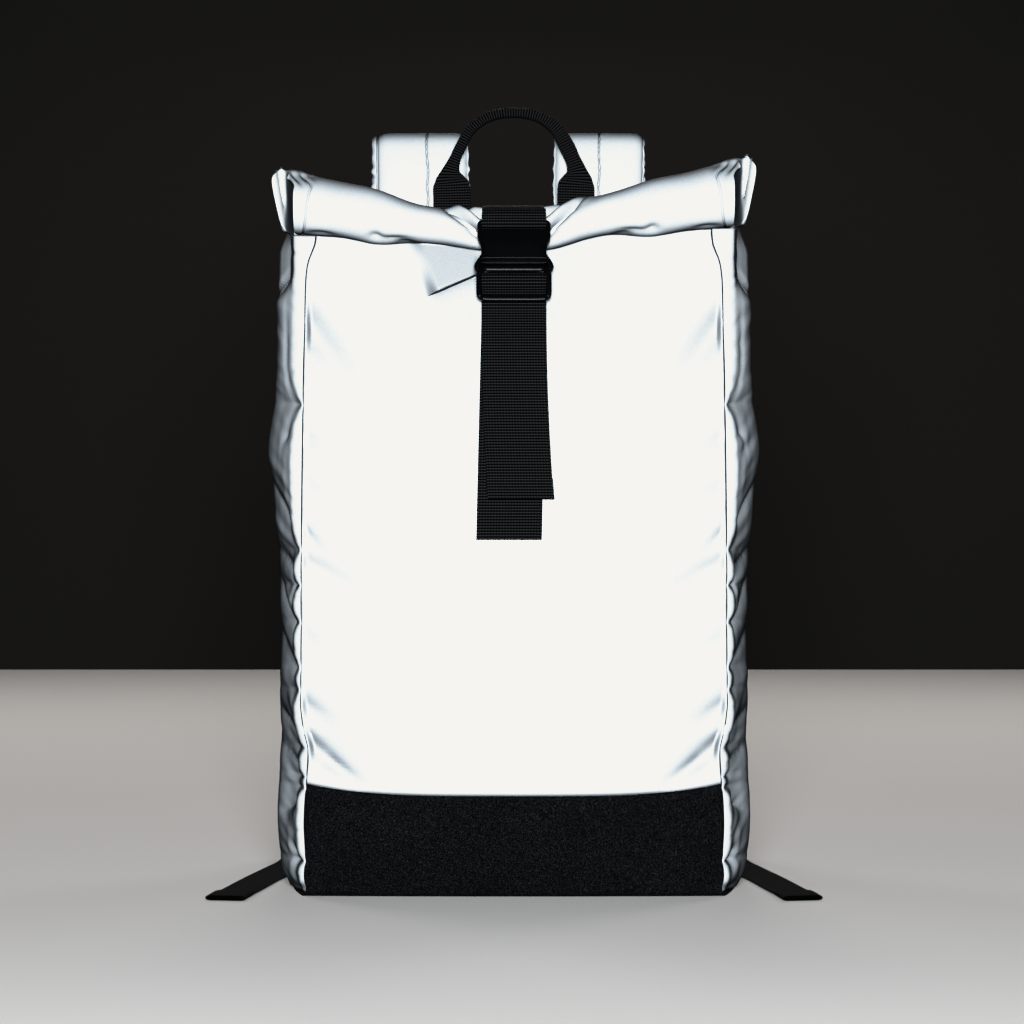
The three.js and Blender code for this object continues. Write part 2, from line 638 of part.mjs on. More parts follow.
// Upper closure strap: from the roof over the roll and down to the socket's bar, where it turns back
function upperStrap() {
  const lie = WEBBING / 2 + STRAP_GAP;
  const edge = WIDE_WEBBING / 2;
  const roof = (up) => backPoint(edge / BACK_SEAM[0].x, up);
  const steps = [0, 0.2, 0.4, 0.6, 0.8, 1];
  const share = (range, step) => THREE.MathUtils.lerp(range.from, range.to, step);
  const onRoof = steps.map((step) => offCurve(roof, share(STRAP_ON_ROOF, step), -lie));
  const onRoll = steps.map((step) => offCurve((t) => rollPoint(edge, t), share(STRAP_ON_ROLL, step), -lie));
  const inBuckle = UPPER_LOOP.map((row) => onBuckle(FEMALE.top + row.v, row.o));
  return strapSolid([...onRoof, ...onRoll, ...inBuckle].map((point) => stationAt(0, point)), FLAT_SECTION);
}

// Lower closure strap: sewn to the front panel, round the middle bar of the frame, and down as a loose tail
function lowerStrap() {
  const lie = WEBBING / 2 + STRAP_GAP;
  const layer = WEBBING + SEAM_GAP;
  const panel = (z) => frontPoint(0, z);
  const anchor = [];
  const tail = [];
  const rows = 6;
  const under = BUCKLE.z - 8;
  for (let i = 0; i <= rows; i += 1) {
    const z = THREE.MathUtils.lerp(ANCHOR_END_Z, under, i / rows);
    anchor.push({ x: ANCHOR_DRIFT * (1 - i / rows), ...offCurve(panel, z, lie) });
    const tailZ = THREE.MathUtils.lerp(under, TAIL_END_Z, i / rows);
    tail.push({ x: TAIL_DRIFT * (i / rows) ** 2, ...offCurve(panel, tailZ, lie + layer) });
  }
  const inBuckle = LOWER_LOOP.map((row) => ({ x: 0, ...onBuckle(row.v, row.o) }));
  const route = [...anchor, ...inBuckle, ...tail];
  return strapSolid(route.map((point) => stationAt(point.x, point)), FLAT_SECTION);
}

// Grab handle: flat feet on the back panel, the grip folded in half lengthwise
function grabHandle() {
  const other = HANDLE.slice(0, -1).reverse();
  const rows = [...HANDLE, ...other.map((row) => ({ ...row, x: -row.x, turn: 180 - row.turn }))];
  const across = (row) => {
    const angle = THREE.MathUtils.degToRad(row.turn);
    return new THREE.Vector3(Math.cos(angle), 0, Math.sin(angle));
  };
  return strapSolid(stationsOf(rows, 2, across), FLAT_SECTION);
}

const shoulderStrap = (side) => strapSolid(stationsOf(SHOULDER, 2, acrossX, side), PADDED_SECTION);

// The adjuster's own plane turned and set behind the bag
const adjusterLean = THREE.MathUtils.degToRad(ADJUSTER.lean);
function onAdjuster(v, o) {
  return {
    x: ADJUSTER.x,
    y: ADJUSTER.y + v * Math.sin(adjusterLean) + o * Math.cos(adjusterLean),
    z: ADJUSTER.z + v * Math.cos(adjusterLean) - o * Math.sin(adjusterLean),
  };
}

// Plain ladder-lock: two rails and four bars
function adjuster(side) {
  const top = ADJUSTER_BARS[ADJUSTER_BARS.length - 1].high;
  const slotWidth = NARROW_WEBBING + 1.6;
  const slot = (low, high) => block(slotWidth, low, high, -ADJUSTER.thick, ADJUSTER.thick);
  let solid = block(ADJUSTER.width, 0, top, -ADJUSTER.thick / 2, ADJUSTER.thick / 2);
  ADJUSTER_BARS.slice(1).forEach((bar, i) => {
    solid = solid.subtract(slot(ADJUSTER_BARS[i].high, bar.low));
  });
  return geometryOf(solid)
    .rotateX(-adjusterLean)
    .translate(side * ADJUSTER.x, ADJUSTER.y, ADJUSTER.z);
}

// Short webbing folded round the adjuster's top bar, with its two ends sewn on the shoulder strap
function strapTab(side) {
  const back = TAB_HALF.slice(0, -1).reverse();
  const loop = [...TAB_HALF, ...back.map((row) => ({ v: row.v, o: -row.o }))];
  const rows = loop.map((row) => onAdjuster(row.v, row.o));
  return strapSolid(stationsOf(rows, 2, acrossX, side), FLAT_SECTION);
}

// Shoulder webbing: from its sewn foot up behind the adjuster, round a bar of it, and down as a loose tail
function shoulderWebbing(side) {
  const inAdjuster = WEB_LOOP.map((row) => ({ ...onAdjuster(row.v, row.o), thick: WEBBING, roll: 0 }));
  const across = (row) => {
    const angle = THREE.MathUtils.degToRad(row.roll);
    return new THREE.Vector3(Math.cos(angle), 0, side * Math.sin(angle));
  };
  const stations = stationsOf([...WEB_FOOT, ...inAdjuster, ...WEB_TAIL], 2, across, side);
  for (const station of stations) {
    station.middle.z = Math.max(station.middle.z, station.thick / 2 + FLOOR_CLEAR);
  }
  return strapSolid(stations, FLAT_SECTION);
}

// Assembly
const backpack = new THREE.Group();
function add(name, geometry, material) {
  const mesh = new THREE.Mesh(geometry, material);
  mesh.name = name;
  return mesh;
}

backpack.add(
  add("front_panel", frontPanel(), silver),
  add("base_panel", basePanel(), blackCloth),
  add("back_panel", backPanel(), blackCloth),
  add("roll_top", roll(), silver),
  add("closure_strap_upper", upperStrap(), blackWebbing),
  add("closure_strap_lower", lowerStrap(), blackWebbing),
  add("grab_handle", grabHandle(), blackWebbing),
);

const buckle = new THREE.Group();
buckle.position.set(0, BUCKLE.y, BUCKLE.z);
buckle.rotation.x = -buckleLean;
buckle.add(
  add("buckle_male", buckleMale(), blackPlastic),
  add("buckle_female", buckleFemale(), blackPlastic),
);
backpack.add(buckle);

for (const [side, word] of [[-1, "left"], [1, "right"]]) {
  backpack.add(
    add(`gusset_${word}`, gusset(side), silver),
    add(`shoulder_strap_${word}`, shoulderStrap(side), silver),
    add(`strap_adjuster_${word}`, adjuster(side), blackPlastic),
    add(`strap_tab_${word}`, strapTab(side), blackWebbing),
    add(`shoulder_webbing_${word}`, shoulderWebbing(side), blackWebbing),
  );
}

export default backpack;
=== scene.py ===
# %% [markdown]
# # A roll-top backpack, dressed in Blender
# The packed part holds every solid of the bag at its real size. This lesson gives it its looks: cloth
# with folds, woven webbing and moulded plastic. Each piece is a surface worked out with numpy in
# millimetres, with X to the right, Y away from the front and Z up, and it becomes metres when its mesh
# is made.

import bpy
import numpy as np
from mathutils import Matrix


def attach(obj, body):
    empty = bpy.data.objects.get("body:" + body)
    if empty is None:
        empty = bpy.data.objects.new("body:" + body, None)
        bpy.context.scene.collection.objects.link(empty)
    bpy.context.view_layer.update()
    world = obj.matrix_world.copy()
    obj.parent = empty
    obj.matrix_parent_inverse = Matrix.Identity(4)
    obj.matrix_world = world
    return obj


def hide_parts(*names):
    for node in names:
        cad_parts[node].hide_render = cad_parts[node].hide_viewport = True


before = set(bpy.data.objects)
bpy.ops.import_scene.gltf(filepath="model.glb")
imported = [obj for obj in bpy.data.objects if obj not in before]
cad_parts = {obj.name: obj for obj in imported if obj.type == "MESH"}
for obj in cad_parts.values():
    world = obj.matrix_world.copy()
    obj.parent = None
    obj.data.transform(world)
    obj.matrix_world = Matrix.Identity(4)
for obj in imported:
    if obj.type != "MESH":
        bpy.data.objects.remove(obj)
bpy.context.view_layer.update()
MM = 0.001
DRAW = np.random.default_rng(11)
print("nodes in the part:", len(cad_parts))

# %% [markdown]
# ## Tables that read as curves
# A sewn bag has no circles and few straight lines. Its outlines are given as short tables, and any
# value between two rows comes from a cubic curve through them. Tables like these drive the part's
# solids too, so the looks stay close to them.


# %% Tables and steps
def table(names, *rows):
    """Rows of numbers as named columns."""
    return dict(zip(names.split(), np.array(rows, float).T))


def read(columns, key, at, name):
    """One column at any values of the key column: a cubic Hermite curve whose slopes come from the rows
    beside."""
    knots, values = columns[key], columns[name]
    last = len(knots) - 1
    row = np.arange(last + 1)
    low, high = np.maximum(row - 1, 0), np.minimum(row + 1, last)
    slope = (values[high] - values[low]) / (knots[high] - knots[low])
    at = np.clip(at, knots[0], knots[-1])
    i = np.clip(np.searchsorted(knots, at, side="right") - 1, 0, last - 1)
    span = knots[i + 1] - knots[i]
    t = (at - knots[i]) / span
    start = values[i] * (1 + 2 * t) * (1 - t) ** 2 + span * slope[i] * t * (1 - t) ** 2
    return start + values[i + 1] * t * t * (3 - 2 * t) + span * slope[i + 1] * t * t * (t - 1)


def ease(at, low=0.0, high=1.0):
    """A soft step from 0 at low to 1 at high: 3t^2 - 2t^3."""
    t = np.clip((at - low) / (high - low), 0, 1)
    return t * t * (3 - 2 * t)


def between(at, low, full, fall, end):
    """A plateau of height 1: a soft step up from low to full and a soft step down from fall to end."""
    return ease(at, low, full) * (1 - ease(at, fall, end))


def bell(at, middle, width):
    """A bump of height 1: exp of minus the squared distance in widths."""
    return np.exp(-(((at - middle) / width) ** 2))


def unit(vectors):
    """Vectors scaled to length 1."""
    return vectors / np.maximum(np.linalg.norm(vectors, axis=-1, keepdims=True), 1e-9)


def crowded(even, crowd, count):
    """Values picked from an even row, closer together where the crowd is larger."""
    return np.interp(np.linspace(0, np.sum(crowd), count), np.cumsum(crowd), even)


print("a soft step a quarter of the way up:", ease(0.25))

# %% [markdown]
# ## From grids to meshes
# A cloth panel is a wall: one grid outside, the same grid moved in by the cloth's thickness, and a rim
# between them. A strap is a row of closed rings. Both are built from four-cornered faces as whole
# arrays, which is quick, and the sign of the enclosed volume tells whether the faces point out.


# %% Grids, walls and tubes
def cells(rows, columns, wrap_rows=False, wrap_columns=False):
    """Row and column numbers of the four corners of each cell of a grid, all turning the same way."""
    i, j = np.meshgrid(np.arange(rows - 1 + wrap_rows), np.arange(columns - 1 + wrap_columns), indexing="ij")
    i, j = i.ravel(), j.ravel()
    return np.stack([i, i + 1, i + 1, i], 1), np.stack([j, j, j + 1, j + 1], 1)


def normals(grid):
    """Unit normals of a grid: the cross product of its row direction and its column direction."""
    return unit(np.cross(np.gradient(grid, axis=0), np.gradient(grid, axis=1)))


def wall(outer, thickness, uv):
    """A closed wall: outer grid, inner grid along the normals, and a rim that joins their four edges."""
    rows, columns = outer.shape[:2]
    inner = outer - normals(outer) * thickness
    i, j = cells(rows, columns)
    face = i * columns + j
    top, side = np.arange(rows), np.arange(columns)
    there = [top * columns, (rows - 1) * columns + side[1:]]
    home = [top[::-1][1:] * columns + columns - 1, side[::-1][1:]]
    edge = np.concatenate(there + home)
    a, b = edge[:-1], edge[1:]
    count = rows * columns
    rim = np.stack([b, a, a + count, b + count], 1)
    faces = np.concatenate([face, face[:, ::-1] + count, rim])
    points = np.concatenate([outer.reshape(-1, 3), inner.reshape(-1, 3)])
    spots = np.concatenate([uv.reshape(-1, 2)] * 2)
    return points, faces, spots[faces]


def tube(rings, way=None, closed=False):
    """Closed rings joined in a row, with a strip of faces over each open end. U runs round, V along, in
    millimetres."""
    rows, count = rings.shape[:2]
    i, j = cells(rows, count, closed, True)
    faces = (i % rows) * count + j % count
    if way is None:
        step = np.linalg.norm(np.diff(rings.mean(axis=1), axis=0), axis=1)
        way = np.concatenate([[0], np.cumsum(step)])
    hops = np.linalg.norm(np.roll(rings, -1, axis=1) - rings, axis=2)
    hop = hops[np.argmax(hops.sum(axis=1))]
    around = np.concatenate([[0], np.cumsum(hop)])
    way = np.append(way, way[-1] + (way[-1] - way[0]) / max(rows - 1, 1))
    uv = np.stack([around[j], way[i]], -1)
    if closed:
        return rings.reshape(-1, 3), faces, uv
    k = np.arange(count // 2 - 1)
    cap = np.stack([k, k + 1, count - 2 - k, count - 1 - k], 1)
    caps = np.concatenate([cap, cap[:, ::-1] + (rows - 1) * count])
    faces, uv = np.concatenate([faces, caps]), np.concatenate([uv, np.zeros(caps.shape + (2,))])
    return rings.reshape(-1, 3), faces, uv


def joined(parts):
    """Several sets of points, faces and UVs as one."""
    offset = np.cumsum([0] + [len(part[0]) for part in parts])
    faces = [part[1] + shift for part, shift in zip(parts, offset)]
    return np.concatenate([p[0] for p in parts]), np.concatenate(faces), np.concatenate([p[2] for p in parts])


def outward(part):
    """The same part with its faces pointing out: they are turned if the volume they enclose is negative."""
    points, faces, uv = part
    a, b, c, d = (points[faces[:, k]] for k in range(4))
    volume = np.sum(a * (np.cross(b, c) + np.cross(c, d))) / 6
    return part if volume > 0 else (points, faces[:, ::-1], uv[:, ::-1])


def make_piece(name, parts, finish, replaced=()):
    """One object at the origin that rides on the bag and stands for the solids that it names."""
    points, faces, uv = joined([outward(part) for part in parts])
    mesh = bpy.data.meshes.new(name)
    mesh.vertices.add(len(points))
    mesh.vertices.foreach_set("co", (points * MM).astype(np.float32).ravel())
    mesh.loops.add(faces.size)
    mesh.loops.foreach_set("vertex_index", faces.astype(np.int32).ravel())
    mesh.polygons.add(len(faces))
    mesh.polygons.foreach_set("loop_start", np.arange(0, faces.size, 4, dtype=np.int32))
    mesh.polygons.foreach_set("use_smooth", np.ones(len(faces), bool))
    mesh.uv_layers.new(name="UVMap").data.foreach_set("uv", uv.astype(np.float32).ravel())
    mesh.update(calc_edges=True)
    mesh.validate()
    piece = bpy.data.objects.new(name, mesh)
    bpy.context.collection.objects.link(piece)
    mesh.materials.append(finish)
    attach(piece, "root")
    for node in replaced:
        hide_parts(node)
    print(name, len(faces), "faces")
    return piece


print("corners of one cell, by rows and by columns:", *cells(2, 2))

# %% [markdown]
# ## Straps as swept sections
# Webbing is a flat band carried along a path. The path is a table read at even steps, and a vector
# across the band tells how it is turned. The band's edges are rounded, and its thickness can swell
# along the way, which gives ribs.


# %% Paths and bands
def along(columns, step):
    """A table with x, y and z as one smooth path: each column read at even steps of the distance along
    the rows."""
    places = np.stack([columns[axis] for axis in "xyz"], 1)
    way = np.concatenate([[0], np.cumsum(np.linalg.norm(np.diff(places, axis=0), axis=1))])
    columns = {**columns, "way": way}
    at = np.linspace(0, way[-1], int(way[-1] / step) + 1)
    return {name: read(columns, "way", at, name) for name in columns}


def flat_section(count, power=8):
    """Half width and half thickness shares round a flat band: top row, then bottom row, with rounded
    edges."""
    a = np.sin(np.linspace(-1, 1, count) * np.pi / 2) * 0.998
    b = (1 - np.abs(a) ** power) ** (1 / 3)
    return np.concatenate([np.stack([a, b], 1), np.stack([a, -b], 1)[::-1]])


def band_rings(path, across, width, thick, section, level=False):
    """Rings of a band: each section point goes along the band's width, square to the path or level, and
    its face."""
    ahead = unit(np.gradient(path, axis=0))
    face = unit(np.cross(ahead, across))
    side = across if level else np.cross(face, ahead)
    out = section[:, 0] * np.asarray(width)[..., None] / 2
    up = section[:, 1] * np.asarray(thick)[..., None] / 2
    return path[:, None] + side[:, None] * out[..., None] + face[:, None] * up[..., None]


RIB_PITCH = 1.75
RIB_SHARE = 0.22
RIB_STEP = 0.4375


def ribbed_band(columns, across, section=flat_section(10), level=False):
    """Woven webbing along a table: its thickness rises and falls once a rib, as |sin| of the way along."""
    path = along(columns, RIB_STEP)
    rib = np.abs(np.sin(np.pi * path["way"] / RIB_PITCH))
    thick = path["thick"] * (1 - RIB_SHARE + RIB_SHARE * rib)
    places = np.stack([path[axis] for axis in "xyz"], 1)
    rings = band_rings(places, across(path), path["width"], thick, section, level)
    return tube(rings, path["way"])


def to_the_right(path):
    """A band that lies with its width along X."""
    return np.broadcast_to([1.0, 0.0, 0.0], (len(path["way"]), 3))


print("steps to one rib:", RIB_PITCH / RIB_STEP)

# %% [markdown]
# ## A small language for shaders
# Node trees are hard to read as lists of links. Here a socket is wrapped in a class, so that sums and
# products of sockets are written as in Python, and every other node comes from one method.


# %% Sockets that add and multiply
class Wire:
    """A node's output. Each operator adds one Math node to its material."""

    def __init__(self, paint, socket):
        self.paint, self.socket = paint, socket

    def math(self, operation, first, second=None):
        values = {0: first} if second is None else {0: first, 1: second}
        return self.paint.node("ShaderNodeMath", {"operation": operation}, values)

    def __add__(self, other):
        return self.math("ADD", self, other)

    def __sub__(self, other):
        return self.math("SUBTRACT", self, other)

    def __rsub__(self, other):
        return self.math("SUBTRACT", other, self)

    def __mul__(self, other):
        return self.math("MULTIPLY", self, other)

    def __pow__(self, other):
        return self.math("POWER", self, other)

    def __gt__(self, other):
        return self.math("GREATER_THAN", self, other)

    def sine(self):
        return self.math("SINE", self)

    def size(self):
        return self.math("ABSOLUTE", self)

    __radd__, __rmul__ = __add__, __mul__


class Paint:
    """One material. node() adds any node: its settings first, then the values or links of its sockets."""

    def __init__(self, name):
        self.material = bpy.data.materials.new(name)
        self.material.use_nodes = True
        self.tree = self.material.node_tree
        self.tree.nodes.clear()

    def node(self, kind, settings=None, sockets=None, output=0):
        node = self.tree.nodes.new(kind)
        for key, value in (settings or {}).items():
            setattr(node, key, value)
        for key, value in (sockets or {}).items():
            if isinstance(value, Wire):
                self.tree.links.new(value.socket, node.inputs[key])
            else:
                node.inputs[key].default_value = value
        return Wire(self, node.outputs[output]) if node.outputs else None

    def noise(self, place, scale, detail=2.0, roughness=0.5):
        sockets = {"Vector": place, "Scale": scale, "Detail": detail, "Roughness": roughness}
        return self.node("ShaderNodeTexNoise", {}, sockets)

    def blend(self, share, first, second):
        sockets = {"Factor": share, 6: (*first, 1), 7: (*second, 1)}
        return self.node("ShaderNodeMix", {"data_type": "RGBA"}, sockets, output=2)

    def bump(self, height, depth, strength=1.0):
        return self.node("ShaderNodeBump", {}, {"Height": height, "Distance": depth, "Strength": strength})

    def finish(self, **sockets):
        named = {key.replace("_", " "): value for key, value in sockets.items()}
        shader = self.node("ShaderNodeBsdfPrincipled", {}, named)
        self.node("ShaderNodeOutputMaterial", {}, {"Surface": shader})
        print(self.material.name, len(self.tree.nodes), "nodes")
        return self.material


print("what a paint can add:", [name for name in vars(Paint) if not name.startswith("_")])

# %% [markdown]
# ## Finishes
# The silver cloth is coated with tiny glass beads that send light back where it came from. With the
# lamp close to the camera it glows where it faces us and falls to grey where it turns away. A shader has
# no such beads, so here the cloth is a matt silver under a dark-tinted clear coat: slanting light goes
# a longer way through the tint and comes back darker, while the lamp drives what faces it to white. The
# coating's grain and a fine weave are bump.

# %% Silver cloth
BEAD_SCALE = 1250.0
CLOUD_SCALE = 26.0
THREADS = 7.0
SILVER_DARK = (0.6, 0.63, 0.66)
SILVER_PALE = (0.88, 0.93, 0.985)
COAT_TINT = (0.284, 0.289, 0.294, 1)
GRAIN_DEPTH = 0.00035


def silver_cloth():
    paint = Paint("silver_cloth")
    place = paint.node("ShaderNodeTexCoord", output=3)
    uv = paint.node("ShaderNodeTexCoord", output=2)
    bead = paint.noise(place, BEAD_SCALE, 2.0, 0.6)
    cloud = paint.noise(place, CLOUD_SCALE, 3.0, 0.5)
    warp, weft = (paint.node("ShaderNodeSeparateXYZ", {}, {0: uv}, output=k) for k in (0, 1))
    weave = (warp * THREADS).sine() * (weft * THREADS).sine()
    share = bead * 1.5 - 0.45 + cloud * 0.3
    colour = paint.blend(share, SILVER_DARK, SILVER_PALE)
    return paint.finish(
        Base_Color=colour,
        Metallic=0.12,
        Roughness=0.42 + bead * 0.2,
        Specular_IOR_Level=0.2,
        Coat_Weight=1.0,
        Coat_IOR=1.02,
        Coat_Roughness=0.6,
        Coat_Tint=COAT_TINT,
        Normal=paint.bump(bead * 0.85 + weave * 0.15, GRAIN_DEPTH, 0.6),
    )


SILVER = silver_cloth()

# %% [markdown]
# The base band is matt black canvas with fine pale specks, as a coated cloth shows where its threads
# catch the light. A fine noise cut at a level makes the specks, and a wide one makes them come and go.

# %% Black canvas
SPECK_SCALE = 1500.0
PATCH_SCALE = 30.0


def speckled_canvas(name, dark, speck, cut):
    paint = Paint(name)
    place = paint.node("ShaderNodeTexCoord", output=3)
    dots = paint.noise(place, SPECK_SCALE, 1.0, 0.5)
    wide = paint.noise(place, PATCH_SCALE, 3.0, 0.6)
    mask = (dots > cut) * (0.3 + wide)
    colour = paint.blend(mask * 0.8, dark, speck)
    return paint.finish(
        Base_Color=colour,
        Roughness=0.8 + dots * 0.2,
        Specular_IOR_Level=0.008,
        Normal=paint.bump(dots, 0.0002, 0.5),
    )


CANVAS = speckled_canvas("base_canvas", (0.0001, 0.0001, 0.00012), (0.0032, 0.0032, 0.0036), cut=0.57)
BACK_CLOTH = speckled_canvas("back_cloth", (0.004, 0.004, 0.0043), (0.014, 0.014, 0.015), cut=0.64)

# %% [markdown]
# Webbing has ribs across it, which are real swellings here, and columns of yarn along it, which are
# colour and bump. Only the crests of the ribs catch light, so the pale colour is a painted highlight
# on them: a high power of the rib.
# The plastic is darker and smoother.

# %% Webbing and plastic
YARN_PITCH = 1.75
FUZZ_SCALE = 2600.0
CREST_POWER = 8.0
WEB_DARK = (0.00003, 0.00003, 0.00004)
WEB_PAINTED_HIGHLIGHT = (0.0062, 0.0061, 0.0064)
MOULD_SCALE = 2200.0
WEAR_SCALE = 60.0


def woven_black():
    paint = Paint("black_webbing")
    uv = paint.node("ShaderNodeTexCoord", output=2)
    place = paint.node("ShaderNodeTexCoord", output=3)
    across, way = (paint.node("ShaderNodeSeparateXYZ", {}, {0: uv}, output=k) for k in (0, 1))
    column = (across * (np.pi / YARN_PITCH)).sine().size()
    rib = (way * (np.pi / RIB_PITCH)).sine().size()
    fuzz = paint.noise(place, FUZZ_SCALE, 2.0, 0.6)
    # painted highlight: the pale colour sits on the crests of the ribs, broken up by the yarn columns and the
    # fuzz
    light = (rib**CREST_POWER) * (0.3 + column * column * 0.7) * (0.6 + fuzz * 0.8)
    colour = paint.blend(light, WEB_DARK, WEB_PAINTED_HIGHLIGHT)
    return paint.finish(
        Base_Color=colour,
        Roughness=0.55 + fuzz * 0.3,
        Specular_IOR_Level=0.003,
        Normal=paint.bump(column * 0.3 + fuzz * 0.7, 0.0002, 0.5),
    )


def moulded_black():
    paint = Paint("black_plastic")
    place = paint.node("ShaderNodeTexCoord", output=3)
    grain = paint.noise(place, MOULD_SCALE, 2.0, 0.5)
    wear = paint.noise(place, WEAR_SCALE, 3.0, 0.6)
    colour = paint.blend(wear, (0.0001, 0.0001, 0.00013), (0.0003, 0.0003, 0.00035))
    return paint.finish(
        Base_Color=colour,
        Roughness=0.2 + grain * 0.1,
        Specular_IOR_Level=0.012,
        Normal=paint.bump(grain, 0.00006, 0.5),
    )


WEBBING = woven_black()
PLASTIC = moulded_black()

# %% [markdown]
# ## Camera, stage and light
# The camera is level and looks straight at the front. The main lamp stands just behind it, a little
# higher, which makes the beaded cloth glow. Dim bluish light from above and from the sides fills the
# folds, and three lamps behind light the sides and the back. The floor is plain and pale, and a plain
# dark wall stands far behind. A view curve rounds off the whites, as film does.

# %% Camera
CAMERA_PLACE = (-0.0012, -1.565, 0.237)
CAMERA_LENS = 85.7

camera_data = bpy.data.cameras.new("camera")
camera_data.lens = CAMERA_LENS
camera_data.sensor_width = 36
camera = bpy.data.objects.new("camera", camera_data)
camera.location = CAMERA_PLACE
camera.rotation_euler = (np.pi / 2, 0, 0)
bpy.context.collection.objects.link(camera)
bpy.context.scene.camera = camera
print("camera at", CAMERA_PLACE, "with a lens of", CAMERA_LENS, "mm")

# %% Lamps
COOL_WHITE = (0.87, 0.94, 1.0)
BLUISH = (0.72, 0.84, 1.0)
BAG_MIDDLE = (0, 0, 0.24)
ROOM_TINT = (0.55, 0.72, 1.0, 1)
ROOM_LIGHT = 0.012


def lamp(name, place, watts, size, colour=(1, 1, 1)):
    """A round area lamp that looks at the bag's middle and isn't seen itself."""
    data = bpy.data.lights.new(name, "AREA")
    data.shape = "DISK"
    data.energy, data.size, data.color = watts, size, colour
    thing = bpy.data.objects.new(name, data)
    way = np.array(BAG_MIDDLE, float) - np.array(place, float)
    flat = np.hypot(way[0], way[1])
    thing.location = place
    thing.rotation_euler = (np.arctan2(flat, -way[2]), 0, np.arctan2(way[1], way[0]) - np.pi / 2)
    thing.visible_camera = False
    bpy.context.collection.objects.link(thing)
    print(name, watts, "W")


lamp("front_lamp", (0, -1.8, 0.42), watts=256, size=0.5, colour=COOL_WHITE)
lamp("top_fill", (0, -0.5, 1.7), watts=2, size=1.2, colour=BLUISH)
lamp("back_lamp", (0, 1.7, 1.5), watts=36, size=0.9)
for word, side in (("left", -1), ("right", 1)):
    lamp(f"side_lamp_{word}", (1.45 * side, 1.3, 1.2), watts=34, size=0.9)
    lamp(f"side_fill_{word}", (1.9 * side, -0.25, 0.5), watts=2, size=0.9, colour=BLUISH)

world = bpy.data.worlds.new("room")
world.use_nodes = True
world.node_tree.nodes["Background"].inputs[0].default_value = ROOM_TINT
world.node_tree.nodes["Background"].inputs[1].default_value = ROOM_LIGHT
bpy.context.scene.world = world

# %% View curve
WHITE_CURVE = ((0, 0), (0.45, 0.45), (0.8, 0.76), (1.0, 0.86), (1.4, 0.93))
WHITE_TOPS = (0.9216, 0.9047, 0.8714)

look = bpy.context.scene.view_settings
look.view_transform = "Standard"
look.use_curve_mapping = True
curves = look.curve_mapping
curves.use_clip = False
for channel, top in zip(curves.curves, WHITE_TOPS):
    points = channel.points
    points[0].location = WHITE_CURVE[0]
    points[1].location = (WHITE_CURVE[-1][0], top)
    for place in WHITE_CURVE[1:-1]:
        points.new(place[0], place[1] * top / WHITE_CURVE[-1][1])
curves.extend = "HORIZONTAL"
curves.update()
print("view curve with", len(WHITE_CURVE), "points in each channel")

# %% Floor and wall
FLOOR_HALF = 6000.0
WALL_PLACE = 2100.0
WALL_TOP = 4000.0
FLOOR_GREY = (0.185, 0.176, 0.172)
WALL_GREY = (0.0044, 0.004, 0.0038)


def sheet_corners(first, last):
    """Four corners of a sheet as wide as the floor, from one edge's depth and height to the other's."""
    return [(-FLOOR_HALF, *first), (FLOOR_HALF, *first), (FLOOR_HALF, *last), (-FLOOR_HALF, *last)]


def stage_sheet(name, corners, colour, roughness):
    """A flat plain sheet that isn't part of the bag."""
    paint = Paint(name)
    place = paint.node("ShaderNodeTexCoord", output=3)
    patch = paint.noise(place, 3, 2.0, 0.5)
    tint = paint.blend(patch, [c * 0.94 for c in colour], colour)
    mesh = bpy.data.meshes.new(name)
    mesh.from_pydata([tuple(np.array(c) * MM) for c in corners], [], [(0, 1, 2, 3)])
    mesh.materials.append(paint.finish(Base_Color=tint, Roughness=roughness, Specular_IOR_Level=0.0))
    sheet = bpy.data.objects.new(name, mesh)
    bpy.context.collection.objects.link(sheet)


stage_sheet("floor", sheet_corners((-FLOOR_HALF, 0), (WALL_PLACE, 0)), FLOOR_GREY, 0.6)
stage_sheet("backdrop", sheet_corners((WALL_PLACE, 0), (WALL_PLACE, WALL_TOP)), WALL_GREY, 0.9)

# %% [markdown]
# ## The front panel
# On the real bag this is one cut of cloth, sewn to the gussets at both sides and to the black band
# below. It swells forward, and each side seam pulls soft dents into it. Near the top it runs straight
# to the roll and folds back under it, and beside the buckle a flat fold lies on it. A cloth solver
# could drape it, but its folds would fall elsewhere than in the photograph. So the panel is a height
# field: depth as a function of the share of the half width and of the height, with each dent a soft
# valley along a short line.

# %% Front seam and dents
CLOTH = 1.2
SWELL_POWER = 2.2
FRONT_HALF = 128.6
BAND = 63.0
BAND_RISE = 6.5

FRONT_SEAM = table(
    "z x y swell",
    (0, 127, -65, 1), (12, 128.8, -66, 4), (24, 128, -66.4, 6), (45, 128.8, -66.4, 9),
    (68, 127.8, -66, 11), (90, 126.4, -66.5, 12.6), (104, 129.3, -67, 13.6), (120, 131, -67, 14.4),
    (160, 130.6, -67.3, 15.4), (200, 130.6, -67.5, 16), (275, 130, -65, 14), (325, 129.6, -61, 11),
    (345, 129.2, -58, 10.6), (365, 128.9, -52.5, 10), (380, 128.6, -46.5, 9.5), (388, 127.8, -42.5, 9),
    (393, 126.6, -39.5, 7.5), (397, 125, -35.5, 4.5), (400, 123.8, -31.5, 1), (403, 122.8, -28.5, 0),
    (410, 122, -26.2, 0), (425, 122, -24.6, 0),
)

FRONT_DENTS = table(
    "from_x from_z to_x to_z width depth",
    (127, 352, 88, 300, 9, 6.8), (130, 283, 112, 276, 4, 2.6), (131, 227, 113, 209, 3.4, 3.4),
    (129, 207, 78, 179, 5.5, 3.6), (131, 119, 104, 102, 6, 5.2), (129, 97, 92, 66, 6, 7.4),
    (108, 80, 84, 64, 4, 3), (131, 160, 112, 152, 5, 1.8), (130, 253, 104, 238, 6, 1.8),
)


